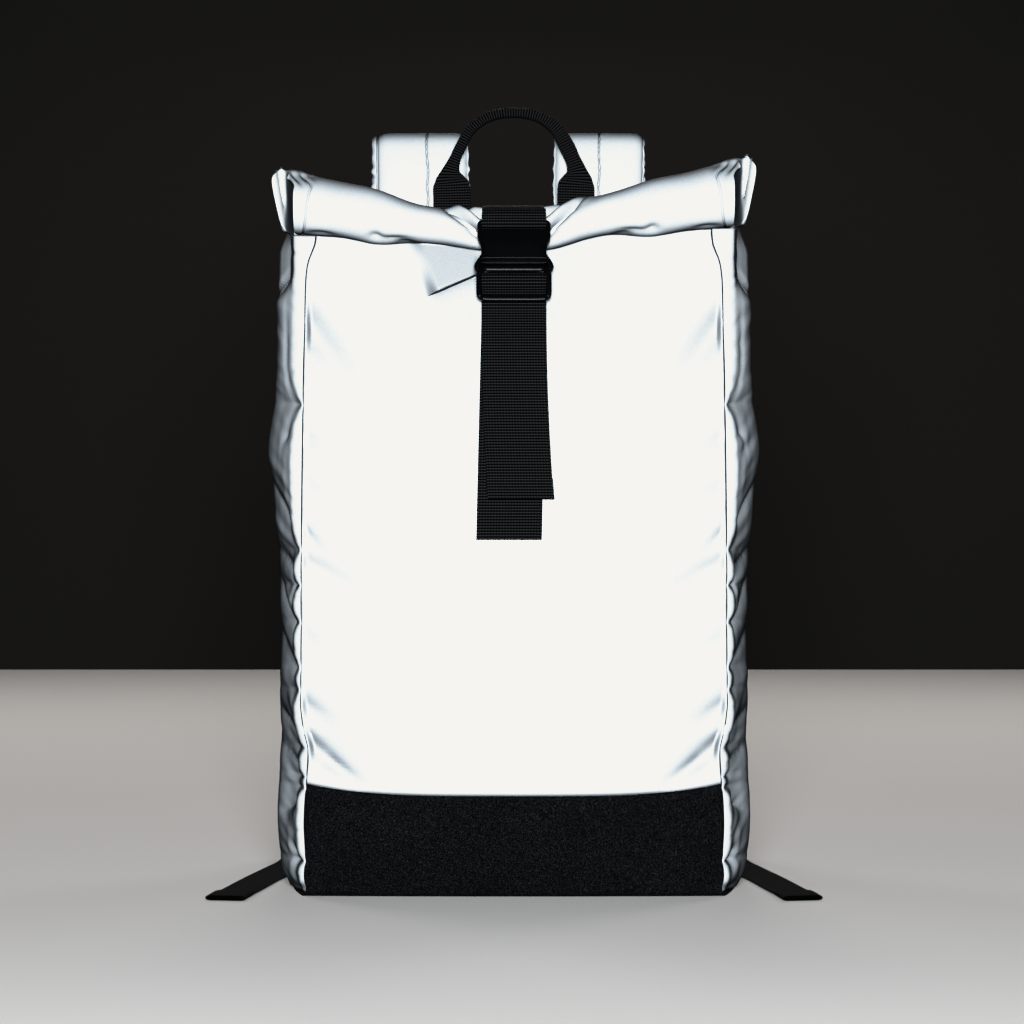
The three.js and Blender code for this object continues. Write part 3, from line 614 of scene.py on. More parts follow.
def valley(a, b, dents, k):
    """Depth of one dent: full on its line, fading across as a bell and towards its far end."""
    start = np.array([dents["from_x"][k], dents["from_z"][k]])
    way = np.array([dents["to_x"][k], dents["to_z"][k]]) - start
    t = np.clip(((a - start[0]) * way[0] + (b - start[1]) * way[1]) / (way @ way), -0.2, 1)
    away = np.hypot(a - start[0] - t * way[0], b - start[1] - t * way[1])
    return dents["depth"][k] * (1 - ease(t)) * np.exp(-((away / dents["width"][k]) ** 2))


PUCKERS = 44


def puckers(height, distance, low, high, depth, reach):
    """Small random dents where a seam gathers the cloth: bells along the seam that fade away from it."""
    total = np.zeros_like(height)
    for k in range(PUCKERS):
        middle = low + (high - low) * (k + DRAW.uniform(0, 1)) / PUCKERS
        deep, far, wide = depth * DRAW.uniform(0.3, 1), reach * DRAW.uniform(0.5, 1.5), DRAW.uniform(1.4, 3.2)
        slant = DRAW.uniform(-0.6, 0.3)
        total += deep * bell(height + slant * distance, middle, wide) * np.exp(-distance / far)
    return total


print("front seam of", len(FRONT_SEAM["z"]), "rows and", len(FRONT_DENTS["depth"]), "dents on each side")

# %% The cloth below the roll
STRAIGHT_FROM = 345.0
STRAIGHT_SOFT = 20.0
TUCK = 2.4
EDGE_TURN = 0.803
EDGE_INSET = 0.8
EDGE_GAP = 1.1
END_GAP = 0.4
END_ZONE = (92.0, 118.0)


def roll_edge(x):
    """Height and depth of the roll's lower front edge, where the panel tucks under it."""
    middle, deep, high = roll_size(x)
    gap = EDGE_GAP + END_GAP * ease(np.abs(x), *END_ZONE)
    return middle - EDGE_TURN * high - gap, ROLL_BACK - deep - EDGE_TURN * EDGE_INSET * deep


def swollen(s, z):
    """Half width at a height, and the depth there: the seam's depth less a swell that fades towards the
    seams."""
    half, deep, swell = (read(FRONT_SEAM, "z", z, name) for name in ("x", "y", "swell"))
    return half, deep - swell * (1 - np.abs(s) ** SWELL_POWER)


def front_depth(s, z):
    """Place of the front panel at a share of the half width and a height. Near the top it runs straight
    to the roll."""
    half, y = swollen(s, z)
    top, ahead = roll_edge(s * half)
    _, start = swollen(s, 0 * z + STRAIGHT_FROM)
    straight = start + (ahead - start) * np.clip((z - STRAIGHT_FROM) / (top - STRAIGHT_FROM), 0, 1)
    share = between(z, STRAIGHT_FROM, STRAIGHT_FROM + STRAIGHT_SOFT, top, top + TUCK)
    return s * half, y + (straight - y) * share, half


print("the front runs straight to the roll from", STRAIGHT_FROM, "mm up")

# %% The fold beside the buckle
FLAP_NEAR = (-22.0, 384.6)
FLAP_TIP = (-50.4, 371.7)
FLAP_TOP = (-47.0, 403.0)
FLAP_SLOPE = 0.79
FLAP_STEP = 0.6
FLAP_SIDE = 0.36
FLAP_BEHIND = (-26.0, -20.0)
FLAP_MIDDLE = (FLAP_NEAR[0] + FLAP_TIP[0]) / 2
FLAP_EDGE = (FLAP_NEAR[1] + FLAP_TIP[1]) / 2
FLAP_RISE = (FLAP_NEAR[1] - FLAP_TIP[1]) / (FLAP_NEAR[0] - FLAP_TIP[0])
GROOVE = 2.6
GROOVE_FROM = 1.2
GROOVE_REACH = 5.0
ROWS_BESIDE = (-70, -52, -20, -2)
ROWS_NEAR = (346, 366, 386, 398)


def flap_parts(x, z):
    """Share of the flap at a place, soft at its left side and none behind the buckle, and height above
    its edge."""
    left = FLAP_TIP[0] - (z - FLAP_TIP[1]) * FLAP_SIDE
    share = between(x, left - 5, left + 6, *FLAP_BEHIND)
    return share, z - FLAP_NEAR[1] - (x - FLAP_NEAR[0]) * FLAP_RISE


def flap_rows(x, z, row):
    """Heights moved so that near the flap each row of a grid, with one height of its own, runs along
    its edge."""
    moved = row + FLAP_RISE * (x - FLAP_MIDDLE)
    return z + (moved - z) * between(x, *ROWS_BESIDE) * between(row, *ROWS_NEAR)


def with_flap(x, y, z):
    """Depth with a flat fold that leans forward from the roll down to its edge, and a groove under the
    edge."""
    share, above = flap_parts(x, z)
    flat = FLAP_TOP[0] - FLAP_SLOPE * (FLAP_TOP[1] - z)
    top, _ = roll_edge(x)
    share = share * (1 - ease(z, top, top + 1.5))
    fade = np.exp(-np.maximum(-GROOVE_FROM - above, 0) / GROOVE_REACH)
    groove = GROOVE * fade * (1 - ease(above, -GROOVE_FROM, 0.2))
    return y + share * ((flat - y) * np.clip(above / FLAP_STEP + 1, 0, 1) + groove)


print("the flap's edge climbs", FLAP_RISE, "mm a millimetre to the right")


# %% The seam of the band
def band_top(s):
    """Height of the seam between the black band and the silver panel: it climbs towards the sides."""
    return BAND + BAND_RISE * s**4


print("the band's seam climbs from", band_top(0), "mm to", band_top(1), "mm")

# %% [markdown]
# ## The roll
# The mouth of the bag is laid flat and rolled forwards. It could be a plain round bar, but its ends
# show the turns, so it is a spiral carried along X: its angle starts low at the back and goes over the
# top to the front. The strap squeezes its middle, so the table makes it lower there, and its right half
# lies a little higher, as in the photograph.

# %% Roll table
ROLL = table(
    "x z deep high",
    (0, 413, 15, 15), (22, 412.6, 15, 15), (45, 414.8, 16, 13.6), (62, 416.6, 17, 14.6),
    (85, 420, 18, 20), (107, 424.4, 19, 20.4), (127, 427, 20, 21.6), (152, 430.4, 20, 22),
)
ROLL_BACK = -24.0
ROLL_START = np.radians(-25)
ROLL_PITCH = 0.24
ROLL_TURNS = 1.95
ROLL_WALL = 2.0
ROLL_SQUARE = 0.75
CORNER_DROP = 0.22
CORNER_ZONE = (118.0, 134.0)
RIGHT_HALF = table(
    "x lift taller",
    (0, 0, 0), (22, 0.4, 0), (34, 2, 0.4), (45, 4.2, 1), (60, 6, 1.1), (81, 5.5, 0.7), (103, 5, 0.8),
    (127, 5.5, 1.6), (152, 6, 1.8),
)
ROLL_END = 138.0
MOUTH_GAP = 1.7


def roll_size(x):
    """Height of the roll's middle, and its half depth and half height. Its right half lies higher."""
    middle, deep, high = (read(ROLL, "x", np.abs(x), name) for name in ("z", "deep", "high"))
    lift, taller = (read(RIGHT_HALF, "x", x, name) for name in ("lift", "taller"))
    return middle + lift, deep, high + taller


def mouth_height(x):
    """Height where the panels turn into the roll."""
    middle, _, high = roll_size(x)
    return middle + high * np.sin(ROLL_START)


def roll_place(x, turn):
    """A spiral: an ellipse that shrinks by one pitch a turn, flattened in front, resting against a
    plane behind."""
    size = np.abs(x)
    middle, deep, high = roll_size(x)
    angle = ROLL_START + 2 * np.pi * turn
    shrink = 1 - ROLL_PITCH * turn
    power = np.where((np.cos(angle) < 0) & (np.sin(angle) < 0), ROLL_SQUARE, 1)
    ahead = np.sign(np.cos(angle)) * np.abs(np.cos(angle)) ** power
    above = np.sign(np.sin(angle)) * np.abs(np.sin(angle)) ** power
    corner = ease(size, *CORNER_ZONE) * (np.cos(angle) < 0) * (np.sin(angle) > 0)
    above = above * (1 - CORNER_DROP * corner * np.sqrt(np.abs(np.cos(angle))))
    return np.stack([x, ROLL_BACK - deep + shrink * deep * ahead, middle + shrink * high * above], -1)


print("the roll's lower edge at both ends, in mm:", roll_edge(np.array([-127.0, 127.0]))[0])

# %% Front panel
FINE = 2001
MOUTH_HALF = 127.0
CLIMB_POWER = 1.6
SEAM_GAP = 0.5
FRONT_PUCKERS = (60, 405, 0.7, 5)
STITCH_DIP = 0.5


def stitched(inset, beyond):
    """How far the cloth dips at its side seam, as a soft step, and at the band's seam, as a bell."""
    return STITCH_DIP * (1 - ease(inset, 0, 0.8)) + STITCH_DIP * bell(beyond, 0, 1.2)


def front_grid():
    """Shares of the half width and heights, closer together at the flap and at the seams."""
    even = np.linspace(-1, 1, FINE)
    columns = crowded(even, 1 + 3 * bell(even, -0.32, 0.17) + 3 * ease(np.abs(even), 0.9, 1), 181)
    tall = mouth_height(FLAP_MIDDLE) - MOUTH_GAP - BAND
    steps = 1 - np.linspace(1, 0, FINE) ** CLIMB_POWER
    rows = crowded(steps, 1 + 6 * bell(BAND + tall * steps, FLAP_EDGE - 0.3, 1.4), 251)
    s, climb = np.meshgrid(columns, rows, indexing="ij")
    low, high = band_top(s) + SEAM_GAP, mouth_height(MOUTH_HALF * s) - MOUTH_GAP
    return s, flap_rows(FRONT_HALF * s, low + (high - low) * climb, BAND + tall * climb)


def front_panel():
    s, z = front_grid()
    x, y, half = front_depth(s, z)
    inset = half - np.abs(x)
    dent = sum(valley(np.abs(x), z, FRONT_DENTS, k) for k in range(len(FRONT_DENTS["depth"])))
    left_dent = puckers(z, inset, *FRONT_PUCKERS)
    right_dent = puckers(z, inset, *FRONT_PUCKERS)
    y = y + dent * ease(inset, 0, 4) + np.where(x < 0, left_dent, right_dent) * ease(inset, 0, 1.5)
    y = with_flap(x, y, z) + stitched(inset, z - band_top(s) - SEAM_GAP)
    return wall(np.stack([x, y, z], -1), CLOTH, np.stack([x, z], -1))


make_piece("front_cloth", [front_panel()], SILVER, ["front_panel"])

# %% [markdown]
# ## The base
# The black band wraps under the bag as its base, in a tougher cloth than the rest. It could be a strip
# and a plate, but one sheet carried along a line keeps its seam with the front exact. Its surface
# follows the front panel down, turns a small round corner and runs flat to the back, bellying out to
# the sides where the gussets meet it.

# %% Base band and underside
BASE_CORNER = 6.0
BASE_FRONT = -65.0
BASE_BACK = 63.5
BASE_BELLY = 13.0
BELLY_POWER = 0.8
BASE_PUCKERS = (0, 128, 0.3, 4)


def base_panel():
    u, v = np.meshgrid(np.linspace(-1, 1, 91), np.linspace(0, 1, 121), indexing="ij")
    s = np.sin(u * np.pi / 2)
    upright, corner, flat = band_top(s) - BASE_CORNER, BASE_CORNER * np.pi / 2, 2 * BASE_BACK
    way = (1 - v) * (upright + corner + flat)
    height = np.maximum(band_top(s) - way, BASE_CORNER)
    x, y, half = front_depth(s, height)
    angle = np.clip((way - upright) / BASE_CORNER, 0, np.pi / 2)
    turned = y + BASE_CORNER * (1 - np.cos(angle))
    y = turned + (BASE_BACK - turned) * np.clip((way - upright - corner) / flat, 0, 1)
    share = np.clip((y - BASE_FRONT) / (BASE_BACK - BASE_FRONT), 0, 1)
    x = x + s * BASE_BELLY * np.sin(np.pi * share) ** BELLY_POWER
    z = np.where(way < upright, height, BASE_CORNER * (1 - np.sin(angle)))
    inset = (1 - np.abs(s)) * half
    lifted = np.where(way < upright, 1.0, 0.0)
    soft = 0.35 * np.sin(x * 0.05) * np.sin(z * 0.11 + 1) + puckers(np.abs(x), np.abs(way), *BASE_PUCKERS)
    y = y + lifted * (soft + stitched(inset, way))
    return wall(np.stack([x, y, z], -1), CLOTH, np.stack([x, way], -1))


make_piece("base_cloth", [base_panel()], CANVAS, ["base_panel"])

# %% [markdown]
# ## The gussets
# The sides are the liveliest cloth on the bag. Slanting creases run from the front seam up and back, a
# pale strip beside the seam is pinched where each starts, and under the roll the side folds into a
# forward strip, a deep valley and a rear bulge. A gusset is a grid from the front seam to the back seam
# whose outward reach is read from tables. Each crease takes a valley from it that rises fast on one
# side and slowly on the other, as pulled cloth does.

# %% Back seam and gusset tables
BACK_SEAM = table(
    "up x y z swell",
    (0, 126, 64, 2.4, 0), (0.07, 128, 65, 32, 2), (0.25, 130, 65, 115, 4), (0.45, 130, 65, 205, 4),
    (0.62, 130, 64.5, 285, 3), (0.73, 130, 64, 340, 2), (0.83, 129, 61, 390, 2),
    (0.9, 128, 46, 419, 1), (0.95, 127.5, 12, 428, 0), (1, 126.5, -22.6, 421, 0),
)
GUSSET = table(
    "up z belly strip",
    (0, 2, BASE_BELLY, 2), (0.03, 13, 17, 4), (0.07, 30, 19, 5), (0.18, 78, 18.6, 5),
    (0.25, 110, 16.2, 5), (0.35, 155, 16, 5), (0.45, 200, 17.4, 6), (0.53, 236, 20, 7),
    (0.575, 255, 22.4, 8), (0.62, 275, 24, 8.4), (0.665, 296, 21.2, 8.2), (0.7, 311, 18.6, 8),
    (0.73, 325, 16.6, 8), (0.8, 355, 17.2, 8), (0.85, 377, 19, 7.6), (0.9, 396, 21, 7.6),
    (0.95, 412, 22, 7.6),
)
BELLY = table(
    "across share",
    (0, 0), (0.03, 0.04), (0.08, 0.2), (0.15, 0.46), (0.22, 0.72), (0.29, 0.91), (0.37, 0.99),
    (0.5, 1), (0.7, 0.9), (0.85, 0.64), (0.95, 0.28), (1, 0),
)
BELLY_FORWARD = 0.7
GATHER = table(
    "across out",
    (0, 0), (0.015, 5.5), (0.03, 7.6), (0.05, 8.3), (0.1, 9.2), (0.16, 10.4), (0.22, 11.2), (0.28, 11),
    (0.34, 9.6), (0.4, 10), (0.46, 13), (0.5, 16.2), (0.54, 19), (0.58, 21.4), (0.64, 22.6),
    (0.74, 19), (0.84, 14.5), (0.93, 7), (1, 0),
)
GATHER_FRONT = 376.0
GATHER_REAR = 357.0
GATHER_SPREAD = 9.0
GUSSET_CREASES = table(
    "seam_z rise reach pinch fold",
    (303, 42, 9, 10, 0.2), (303, -45, 14, 0.01, 0.5), (213.6, 45.5, 60, 8, 1), (191.5, 24, 55, 4, 1),
    (169, 47, 12, 4, 1), (141, 59, 50, 6, 1), (127, 38, 55, 4, 1), (91, 26, 40, 5, 1),
    (73.7, 19, 45, 4, 1), (67, -22, 30, 3, 1), (21.7, 13, 14, 3, 1),
)
print("gusset tables with", len(GUSSET["up"]), "heights and", len(GUSSET_CREASES["rise"]), "creases")

# %% Creases
CREASE_DEPTH = 45.0
CREASE_BEND = 0.55
CREASE_FRONT = 6.5
CREASE_BACK = 12.0
PINCH = 0.92
WRINKLES = 9
WRINKLE_SLANT = 32.0
WRINKLE_DEPTH = 0.015


def lobes(deep, z):
    """The cloth between the creases: 0 on each crease line, rising fast on its front side and slowly
    behind it."""
    total = np.ones_like(z)
    columns = (GUSSET_CREASES[name] for name in ("seam_z", "rise", "reach", "fold"))
    for start, rise, reach, fold in zip(*columns):
        gap = (z - start - rise * (deep / CREASE_DEPTH) ** CREASE_BEND) * np.sign(rise)
        fade = np.where(gap > 0, np.exp(-gap / CREASE_FRONT), np.exp(gap / CREASE_BACK))
        total = total * (1 - fold * fade * (1 - ease(deep, 0.5 * reach, 1.2 * reach)))
    return total


def pinches(z):
    """Share of the pale strip that is left at a height: each crease pinches it where it starts."""
    total = np.ones_like(z)
    for start, reach in zip(GUSSET_CREASES["seam_z"], GUSSET_CREASES["pinch"]):
        total = total * (1 - PINCH * np.exp(-np.abs(z - start) / reach))
    return total


def wrinkles(deep, z):
    """Fine folds along the creases: sines of the height less the creases' slant, with random phases."""
    slant = z - WRINKLE_SLANT * (deep / CREASE_DEPTH) ** CREASE_BEND
    total = np.zeros_like(z)
    for _ in range(WRINKLES):
        length, phase = DRAW.uniform(7, 26), DRAW.uniform(0, 2 * np.pi, 3)
        back_rate, up_rate = DRAW.uniform(0.04, 0.1), DRAW.uniform(0.02, 0.05)
        swing = np.sin(deep * back_rate + phase[0]) * np.sin(z * up_rate + phase[1])
        ripple = np.sin(2 * np.pi * slant / length + phase[2] + 1.5 * swing)
        total += WRINKLE_DEPTH * length * ripple * (0.4 + 0.6 * swing)
    return total


print("share of the strip left at 100 mm and 200 mm:", pinches(np.array([100.0, 200.0])))

# %% Gussets
BELLY_ZONE = (300, 330, 385, 405)
LOBE = 4.5
LOBE_LEVEL = 0.7
LOBE_ZONE = (3, 12, 30, 62)
STREAK = 0.9
SHRUG = 0.36
TUCKS = table("slant height width depth", (0.55, 419, 1.8, 4), (0.6, 414.5, 1.8, 4))
TUCK_ZONE = (0.42, 0.5, 0.62, 0.75)
GUSSET_PUCKERS = (10, 400, 1.0, 6)
SEAM_TURN = 2.2
STRIP_DEPTH = 1.1
SEAM_LINE = 128.0
SIDE_GAP = 0.9


def reach_out(a, t, deep, z, row):
    """How far the gusset stands out: strip, belly and lobes low down, and a gathered fold near the roll."""
    width = row["strip"] * pinches(row["z"])
    strip = width * (1 - np.exp(-deep / STRIP_DEPTH)) * (1 - t)
    near = 1 + BELLY_FORWARD * between(z, *BELLY_ZONE)
    belly = (row["belly"] - width * 0.6) * read(BELLY, "across", a * near / (1 + (near - 1) * a), "share")
    lobe = LOBE * (lobes(deep, z) - LOBE_LEVEL) * between(deep, *LOBE_ZONE)
    streak = STREAK * bell(z, 338, 24) * bell(deep, 8.5, 2.8)
    out = belly + strip + lobe - streak
    start = GATHER_FRONT + (GATHER_REAR - GATHER_FRONT) * ease(a, 0.15, 0.5)
    gathered = ease(z, start - GATHER_SPREAD, start + GATHER_SPREAD)
    out = out + (read(GATHER, "across", a, "out") - out) * gathered
    return out * (1 - SHRUG * ease(z, 402, 424) * ease(a, 0.3, 0.45))


def pressed_in(a, deep, z):
    """Depth of the small folds: two tucks in the rear bulge, fine wrinkles and the seam's puckers."""
    tuck = np.zeros_like(z)
    for slant, height, width, depth in zip(*TUCKS.values()):
        tuck += depth * bell(z + slant * deep, height, width)
    calm = (1 - 0.75 * ease(deep, 20, 38)) * (1 - 0.6 * ease(z, 300, 320))
    press = tuck * between(a, *TUCK_ZONE) + wrinkles(deep, z) * ease(deep, 2, 12) * calm
    return press + puckers(z, deep, *GUSSET_PUCKERS)


def gusset(side):
    a, b = np.meshgrid(np.linspace(0, 1, 116) ** 1.6, np.linspace(0, 1, 241), indexing="ij")
    up = b * GUSSET["up"][-1]
    row = {name: read(GUSSET, "up", up, name) for name in GUSSET}
    front_x, front_y, _ = front_depth(side + 0 * up, row["z"])
    front_x = np.abs(front_x)
    back = {name: read(BACK_SEAM, "up", up, name) for name in "xyz"}
    span = np.hypot(back["y"] - front_y, back["z"] - row["z"])
    turned = SEAM_TURN + BASE_CORNER * (1 - ease(row["z"], 2, 10))
    t = turned / span + (1 - 2 * turned / span) * a
    z = row["z"] + (back["z"] - row["z"]) * t
    deep = t * span - turned
    base = np.maximum(reach_out(a, t, deep, z, row), 0.05)
    press = pressed_in(a, deep, z) * (1 - ease(a, 0.86, 1))
    out = base - np.minimum(press, 0.95 * base) * ease(a, 0, 0.02)
    inward = np.maximum(SEAM_LINE - front_x, 0) * (1 - t) * (1 - np.exp(-deep / STRIP_DEPTH))
    x = front_x + (back["x"] - front_x) * t + SIDE_GAP + out + inward
    y = front_y + (back["y"] - front_y) * t
    grid, spot = np.stack([side * x, y, z], -1), np.stack([y, z], -1)
    return wall(grid[::side], CLOTH, spot[::side])


for word, side in (("left", -1), ("right", 1)):
    make_piece(f"gusset_cloth_{word}", [gusset(side)], SILVER, [f"gusset_{word}"])

# %% [markdown]
# ## Back panel and roof
# Nobody sees the back in the photograph, so it is finished plainly: black cloth that swells a little
# and runs on over the top as a roof to the mouth. Such backs often have pads and mesh, but none can be
# seen, so one grid along the back seam is enough.

# %% Back panel
BACK_HALF = 128.0
BACK_LENGTH = 430.0
BACK_PUCKERS = (10, 420, 0.8, 8)


def back_place(s, up):
    """A point of the back panel: its seam row, a swell between the seams, and the sag of the mouth near
    the roll."""
    row = {name: read(BACK_SEAM, "up", up, name) for name in BACK_SEAM}
    x = s * row["x"]
    sag = BACK_SEAM["z"][-1] - mouth_height(x) - MOUTH_GAP
    return np.stack([x, row["y"] + row["swell"] * (1 - s * s), row["z"] - sag * ease(up, 0.8, 1)], -1)


def back_panel():
    u, v = np.meshgrid(np.linspace(1, -1, 65), np.linspace(0, 1, 121), indexing="ij")
    grid = back_place(u, v)
    inset = (1 - np.abs(u)) * BACK_HALF
    soft = 0.5 * np.sin(grid[..., 0] * 0.06 + 1) * np.sin(v * 19)
    pull = puckers(v * BACK_LENGTH, inset, *BACK_PUCKERS) + 1.6 * (1 - ease(inset, 0, 3))
    press = (soft * ease(inset, 0, 12) + pull) * ease(v, 0, 0.02)
    grid = grid - normals(grid) * press[..., None]
    return wall(grid, CLOTH, np.stack([grid[..., 0], v * BACK_LENGTH], -1))


make_piece("back_cloth", [back_panel()], BACK_CLOTH, ["back_panel"])


# %% [markdown]
# ## The rolled mouth
# The roll's cloth gathers into pleats where the strap holds it, shows small dents along its lower edge,
# and has a sewn hem near each end. Its back layer sticks out past the front one, so from the front each
# end shows an ear. All this could be sculpted by hand, but as tables of lines and bells it can be
# compared with the photograph and moved by a millimetre.

# %% Pleats and dents
PLEATS = table(
    "side x way to_x to_way width out",
    (-1, 21, 50, 39, 31, 2.6, -8), (-1, 21, 43, 36, 26, 4.5, 4.5), (-1, 20.5, 36.5, 31, 27, 2.2, -7),
    (-1, 20, 32, 27, 27, 3, 3), (1, 22, 48, 41, 29, 2.8, -8.5), (1, 21, 42, 43, 24, 6, 6),
    (1, 20, 36, 36, 23, 2.4, -7), (1, 20, 31, 30, 24, 3, 3),
)
ROLL_DENTS = table(
    "x way wide tall depth",
    (86, 55, 4, 4, 2.6), (76, 58, 11, 4, 2.6), (68, 63, 6, 3, 1.6), (120, 61, 8, 3, 1.6),
    (58, 46, 14, 8, 1.0), (112, 34, 16, 8, 0.8),
)
PLEAT_RUN = (-0.6, 0, 0.7, 1.5)


def pleats(x, way):
    """Depth of the pleats beside the strap: each a sharp valley or a soft ridge along a short slanting
    line."""
    size = np.abs(x)
    total = np.zeros_like(x)
    for k in range(len(PLEATS["x"])):
        row = {name: PLEATS[name][k] for name in PLEATS}
        line = np.array([row["to_x"] - row["x"], row["to_way"] - row["way"]])
        t = ((size - row["x"]) * line[0] + (way - row["way"]) * line[1]) / (line @ line)
        off = ((size - row["x"]) * line[1] - (way - row["way"]) * line[0]) / np.hypot(*line)
        cross = bell(off, 0, row["width"]) if row["out"] > 0 else np.exp(-np.abs(off) / row["width"])
        total -= row["out"] * cross * (np.sign(x) == row["side"]) * between(t, *PLEAT_RUN)
    return total


def roll_dents(size, way):
    """Depth of the small dents along the roll: each a bell both ways."""
    total = np.zeros_like(size)
    for x, at, wide, tall, depth in zip(*ROLL_DENTS.values()):
        total += depth * bell(size, x, wide) * bell(way, at, tall)
    return total


print("pleats:", len(PLEATS["x"]), "and dents on each side:", len(ROLL_DENTS["x"]))

# %% Rolled mouth
EAR = table(
    "turn reach",
    (0, 5.2), (0.04, 7), (0.1, 9.2), (0.16, 11.4), (0.2, 12), (0.24, 10.6), (0.28, 8.4), (0.34, 4.5),
    (0.44, -1.8), (0.5, -1.8), (1.95, -1.8),
)
EAR_PLANE = -54.0
EAR_FOLD = 4.5
EAR_LIFT = 4.0
ROLL_GIRTH = 80.0
HEM = 11.8
HEM_SLANT = 16.0
FRONT_TURN = 0.36
ROLL_PUCKERS = (4, 70, 1.2, 14)


def with_ears(grid, size, turn):
    """The roll with its end corners lifted, and its back layer laid out as an ear past each end."""
    beyond = size - ROLL_END
    grid[..., 2] += EAR_LIFT * ease(size, 118, 136) * bell(turn, 0.24, 0.07) * (1 - ease(beyond, 1, 5))
    leaf = EAR_PLANE + EAR_FOLD * bell(beyond - 3 - 20 * turn, 1.5, 1.8) * ease(beyond, 4, 7)
    grid[..., 1] += (leaf - grid[..., 1]) * ease(beyond, 1.2, 6.2) * (1 - ease(turn, 0.32, 0.42))
    return grid


def roll():
    even = np.linspace(1, -1, FINE)
    crowd = 1 + 1.6 * bell(np.abs(even), 0.22, 0.08) + 5 * ease(np.abs(even), 0.82, 1)
    u, v = np.meshgrid(crowded(even, crowd, 261), np.linspace(0, 1, 141), indexing="ij")
    turn = v**1.25 * ROLL_TURNS
    way = turn * ROLL_GIRTH
    end = ROLL_END + read(EAR, "turn", turn, "reach")
    x = u * end
    turn = turn - 0.08 * ease(np.abs(x), 128, 137) * (1 - ease(turn, 0, 0.3))
    grid = roll_place(x, turn)
    size, inset = np.abs(x), end - np.abs(x)
    hem = HEM - HEM_SLANT * (turn - FRONT_TURN)
    sewn = 0.9 * bell(inset, hem, 0.6) - 0.3 * (1 - ease(inset, hem - 1, hem))
    press = pleats(x, way) + roll_dents(size, way) + ease(turn, 0.34, 0.42) * sewn
    press += ease(size, 120, 134) * bell(turn, 0.37, 0.06) * (0.6 + 0.6 * np.sin(size * 1.1 + turn * 60))
    press += puckers(way, size, *ROLL_PUCKERS) * ease(size, 18, 26) * 0.5
    grid = grid - normals(grid) * (press * (1 - ease(turn, 0.86, 1.0)))[..., None]
    return wall(with_ears(grid, size, turn), ROLL_WALL, np.stack([x, way], -1))


make_piece("rolled_mouth", [roll()], SILVER, ["roll_top"])

# %% [markdown]
# ## The buckle
# A side-release buckle has a lower half, a frame with a bar that the strap is threaded round, and an
# upper half, a flat socket. They could be cut from blocks, but swept sections have round edges from the
# start: frames are sections carried round a rounded rectangle, and the socket is a stack of rounded
# outlines. All of it is worked out in the buckle's own plane and then leaned back against the bag.

# %% The buckle's plane
BUCKLE_Y = -70.6
BUCKLE_Z = 366.0
BUCKLE_LEAN = np.radians(14.5)
ROUND_POINTS = 16


def on_buckle(x, v, o):
    """Buckle plane to bag: x across, v up the strap, o out towards the front."""
    y = BUCKLE_Y + v * np.sin(BUCKLE_LEAN) - o * np.cos(BUCKLE_LEAN)
    z = BUCKLE_Z + v * np.cos(BUCKLE_LEAN) + o * np.sin(BUCKLE_LEAN)
    return np.stack(np.broadcast_arrays(x, y, z), -1)


def round_section(count, power=4):
    """A rounded square round a full turn: cosine and sine raised to 2 / power."""
    t = np.linspace(0, 2 * np.pi, count, endpoint=False)
    c, s = np.cos(t), np.sin(t)
    return np.stack([np.sign(c) * np.abs(c) ** (2 / power), np.sign(s) * np.abs(s) ** (2 / power)], 1)


def round_loop(half, low, high, power, count=96):
    """A closed rounded rectangle in the plane: a superellipse between two heights."""
    loop = round_section(count, power)
    return half * loop[:, 0], (low + high) / 2 + (high - low) / 2 * loop[:, 1]


def frame_ring(half, low, high, power, bar, thick, place):
    """A rounded section carried round a loop, in a plane that place() sets on the bag."""
    x, v = round_loop(half - bar / 2, low + bar / 2, high - bar / 2, power)
    ahead = unit(np.stack([np.roll(x, -1) - np.roll(x, 1), np.roll(v, -1) - np.roll(v, 1)], 1))
    section = round_section(ROUND_POINTS)
    out = section[:, 0] * bar / 2
    up = section[:, 1] * np.broadcast_to(thick, x.shape)[:, None] / 2
    rings = place(x[:, None] + ahead[:, 1:2] * out, v[:, None] - ahead[:, 0:1] * out, up)
    return tube(rings, closed=True)


def cross_bar(half, v, bar, thick, place):
    """A straight bar across the plane."""
    x = np.linspace(-half, half, 9)[:, None]
    section = round_section(ROUND_POINTS)
    return tube(place(x, v + section[:, 0] * bar / 2, section[:, 1] * thick / 2))


print("the buckle leans back by", np.degrees(BUCKLE_LEAN), "degrees")

# %% Lower half
MALE_HALF = 23.25
MALE_TOP = 22.0
RAIL = 6.0
BAR = 3.6
BAR_HALF = 21.5
MIDDLE_BAR = 13.2
FRAME_BAR = 3.8
FRAME_POWER = 9
ARM = table(
    "v x wide thick",
    (18, 20.0, 4.5, 4.0), (20.5, 21.8, 4.6, 4.4), (23, 22.4, 4.2, 4.6), (26, 21.4, 3.6, 4.4),
    (30, 19.0, 3.4, 4.0), (36, 16.0, 3.2, 4.0),
)


def arm(side):
    """A springy side arm: a rounded section carried up a bent path into the socket."""
    v = np.linspace(ARM["v"][0], ARM["v"][-1], 25)[:, None]
    x, wide, thick = (read(ARM, "v", v, name) for name in ("x", "wide", "thick"))
    section = round_section(ROUND_POINTS)
    return tube(on_buckle(side * (x + section[:, 0] * wide / 2), v, section[:, 1] * thick / 2))


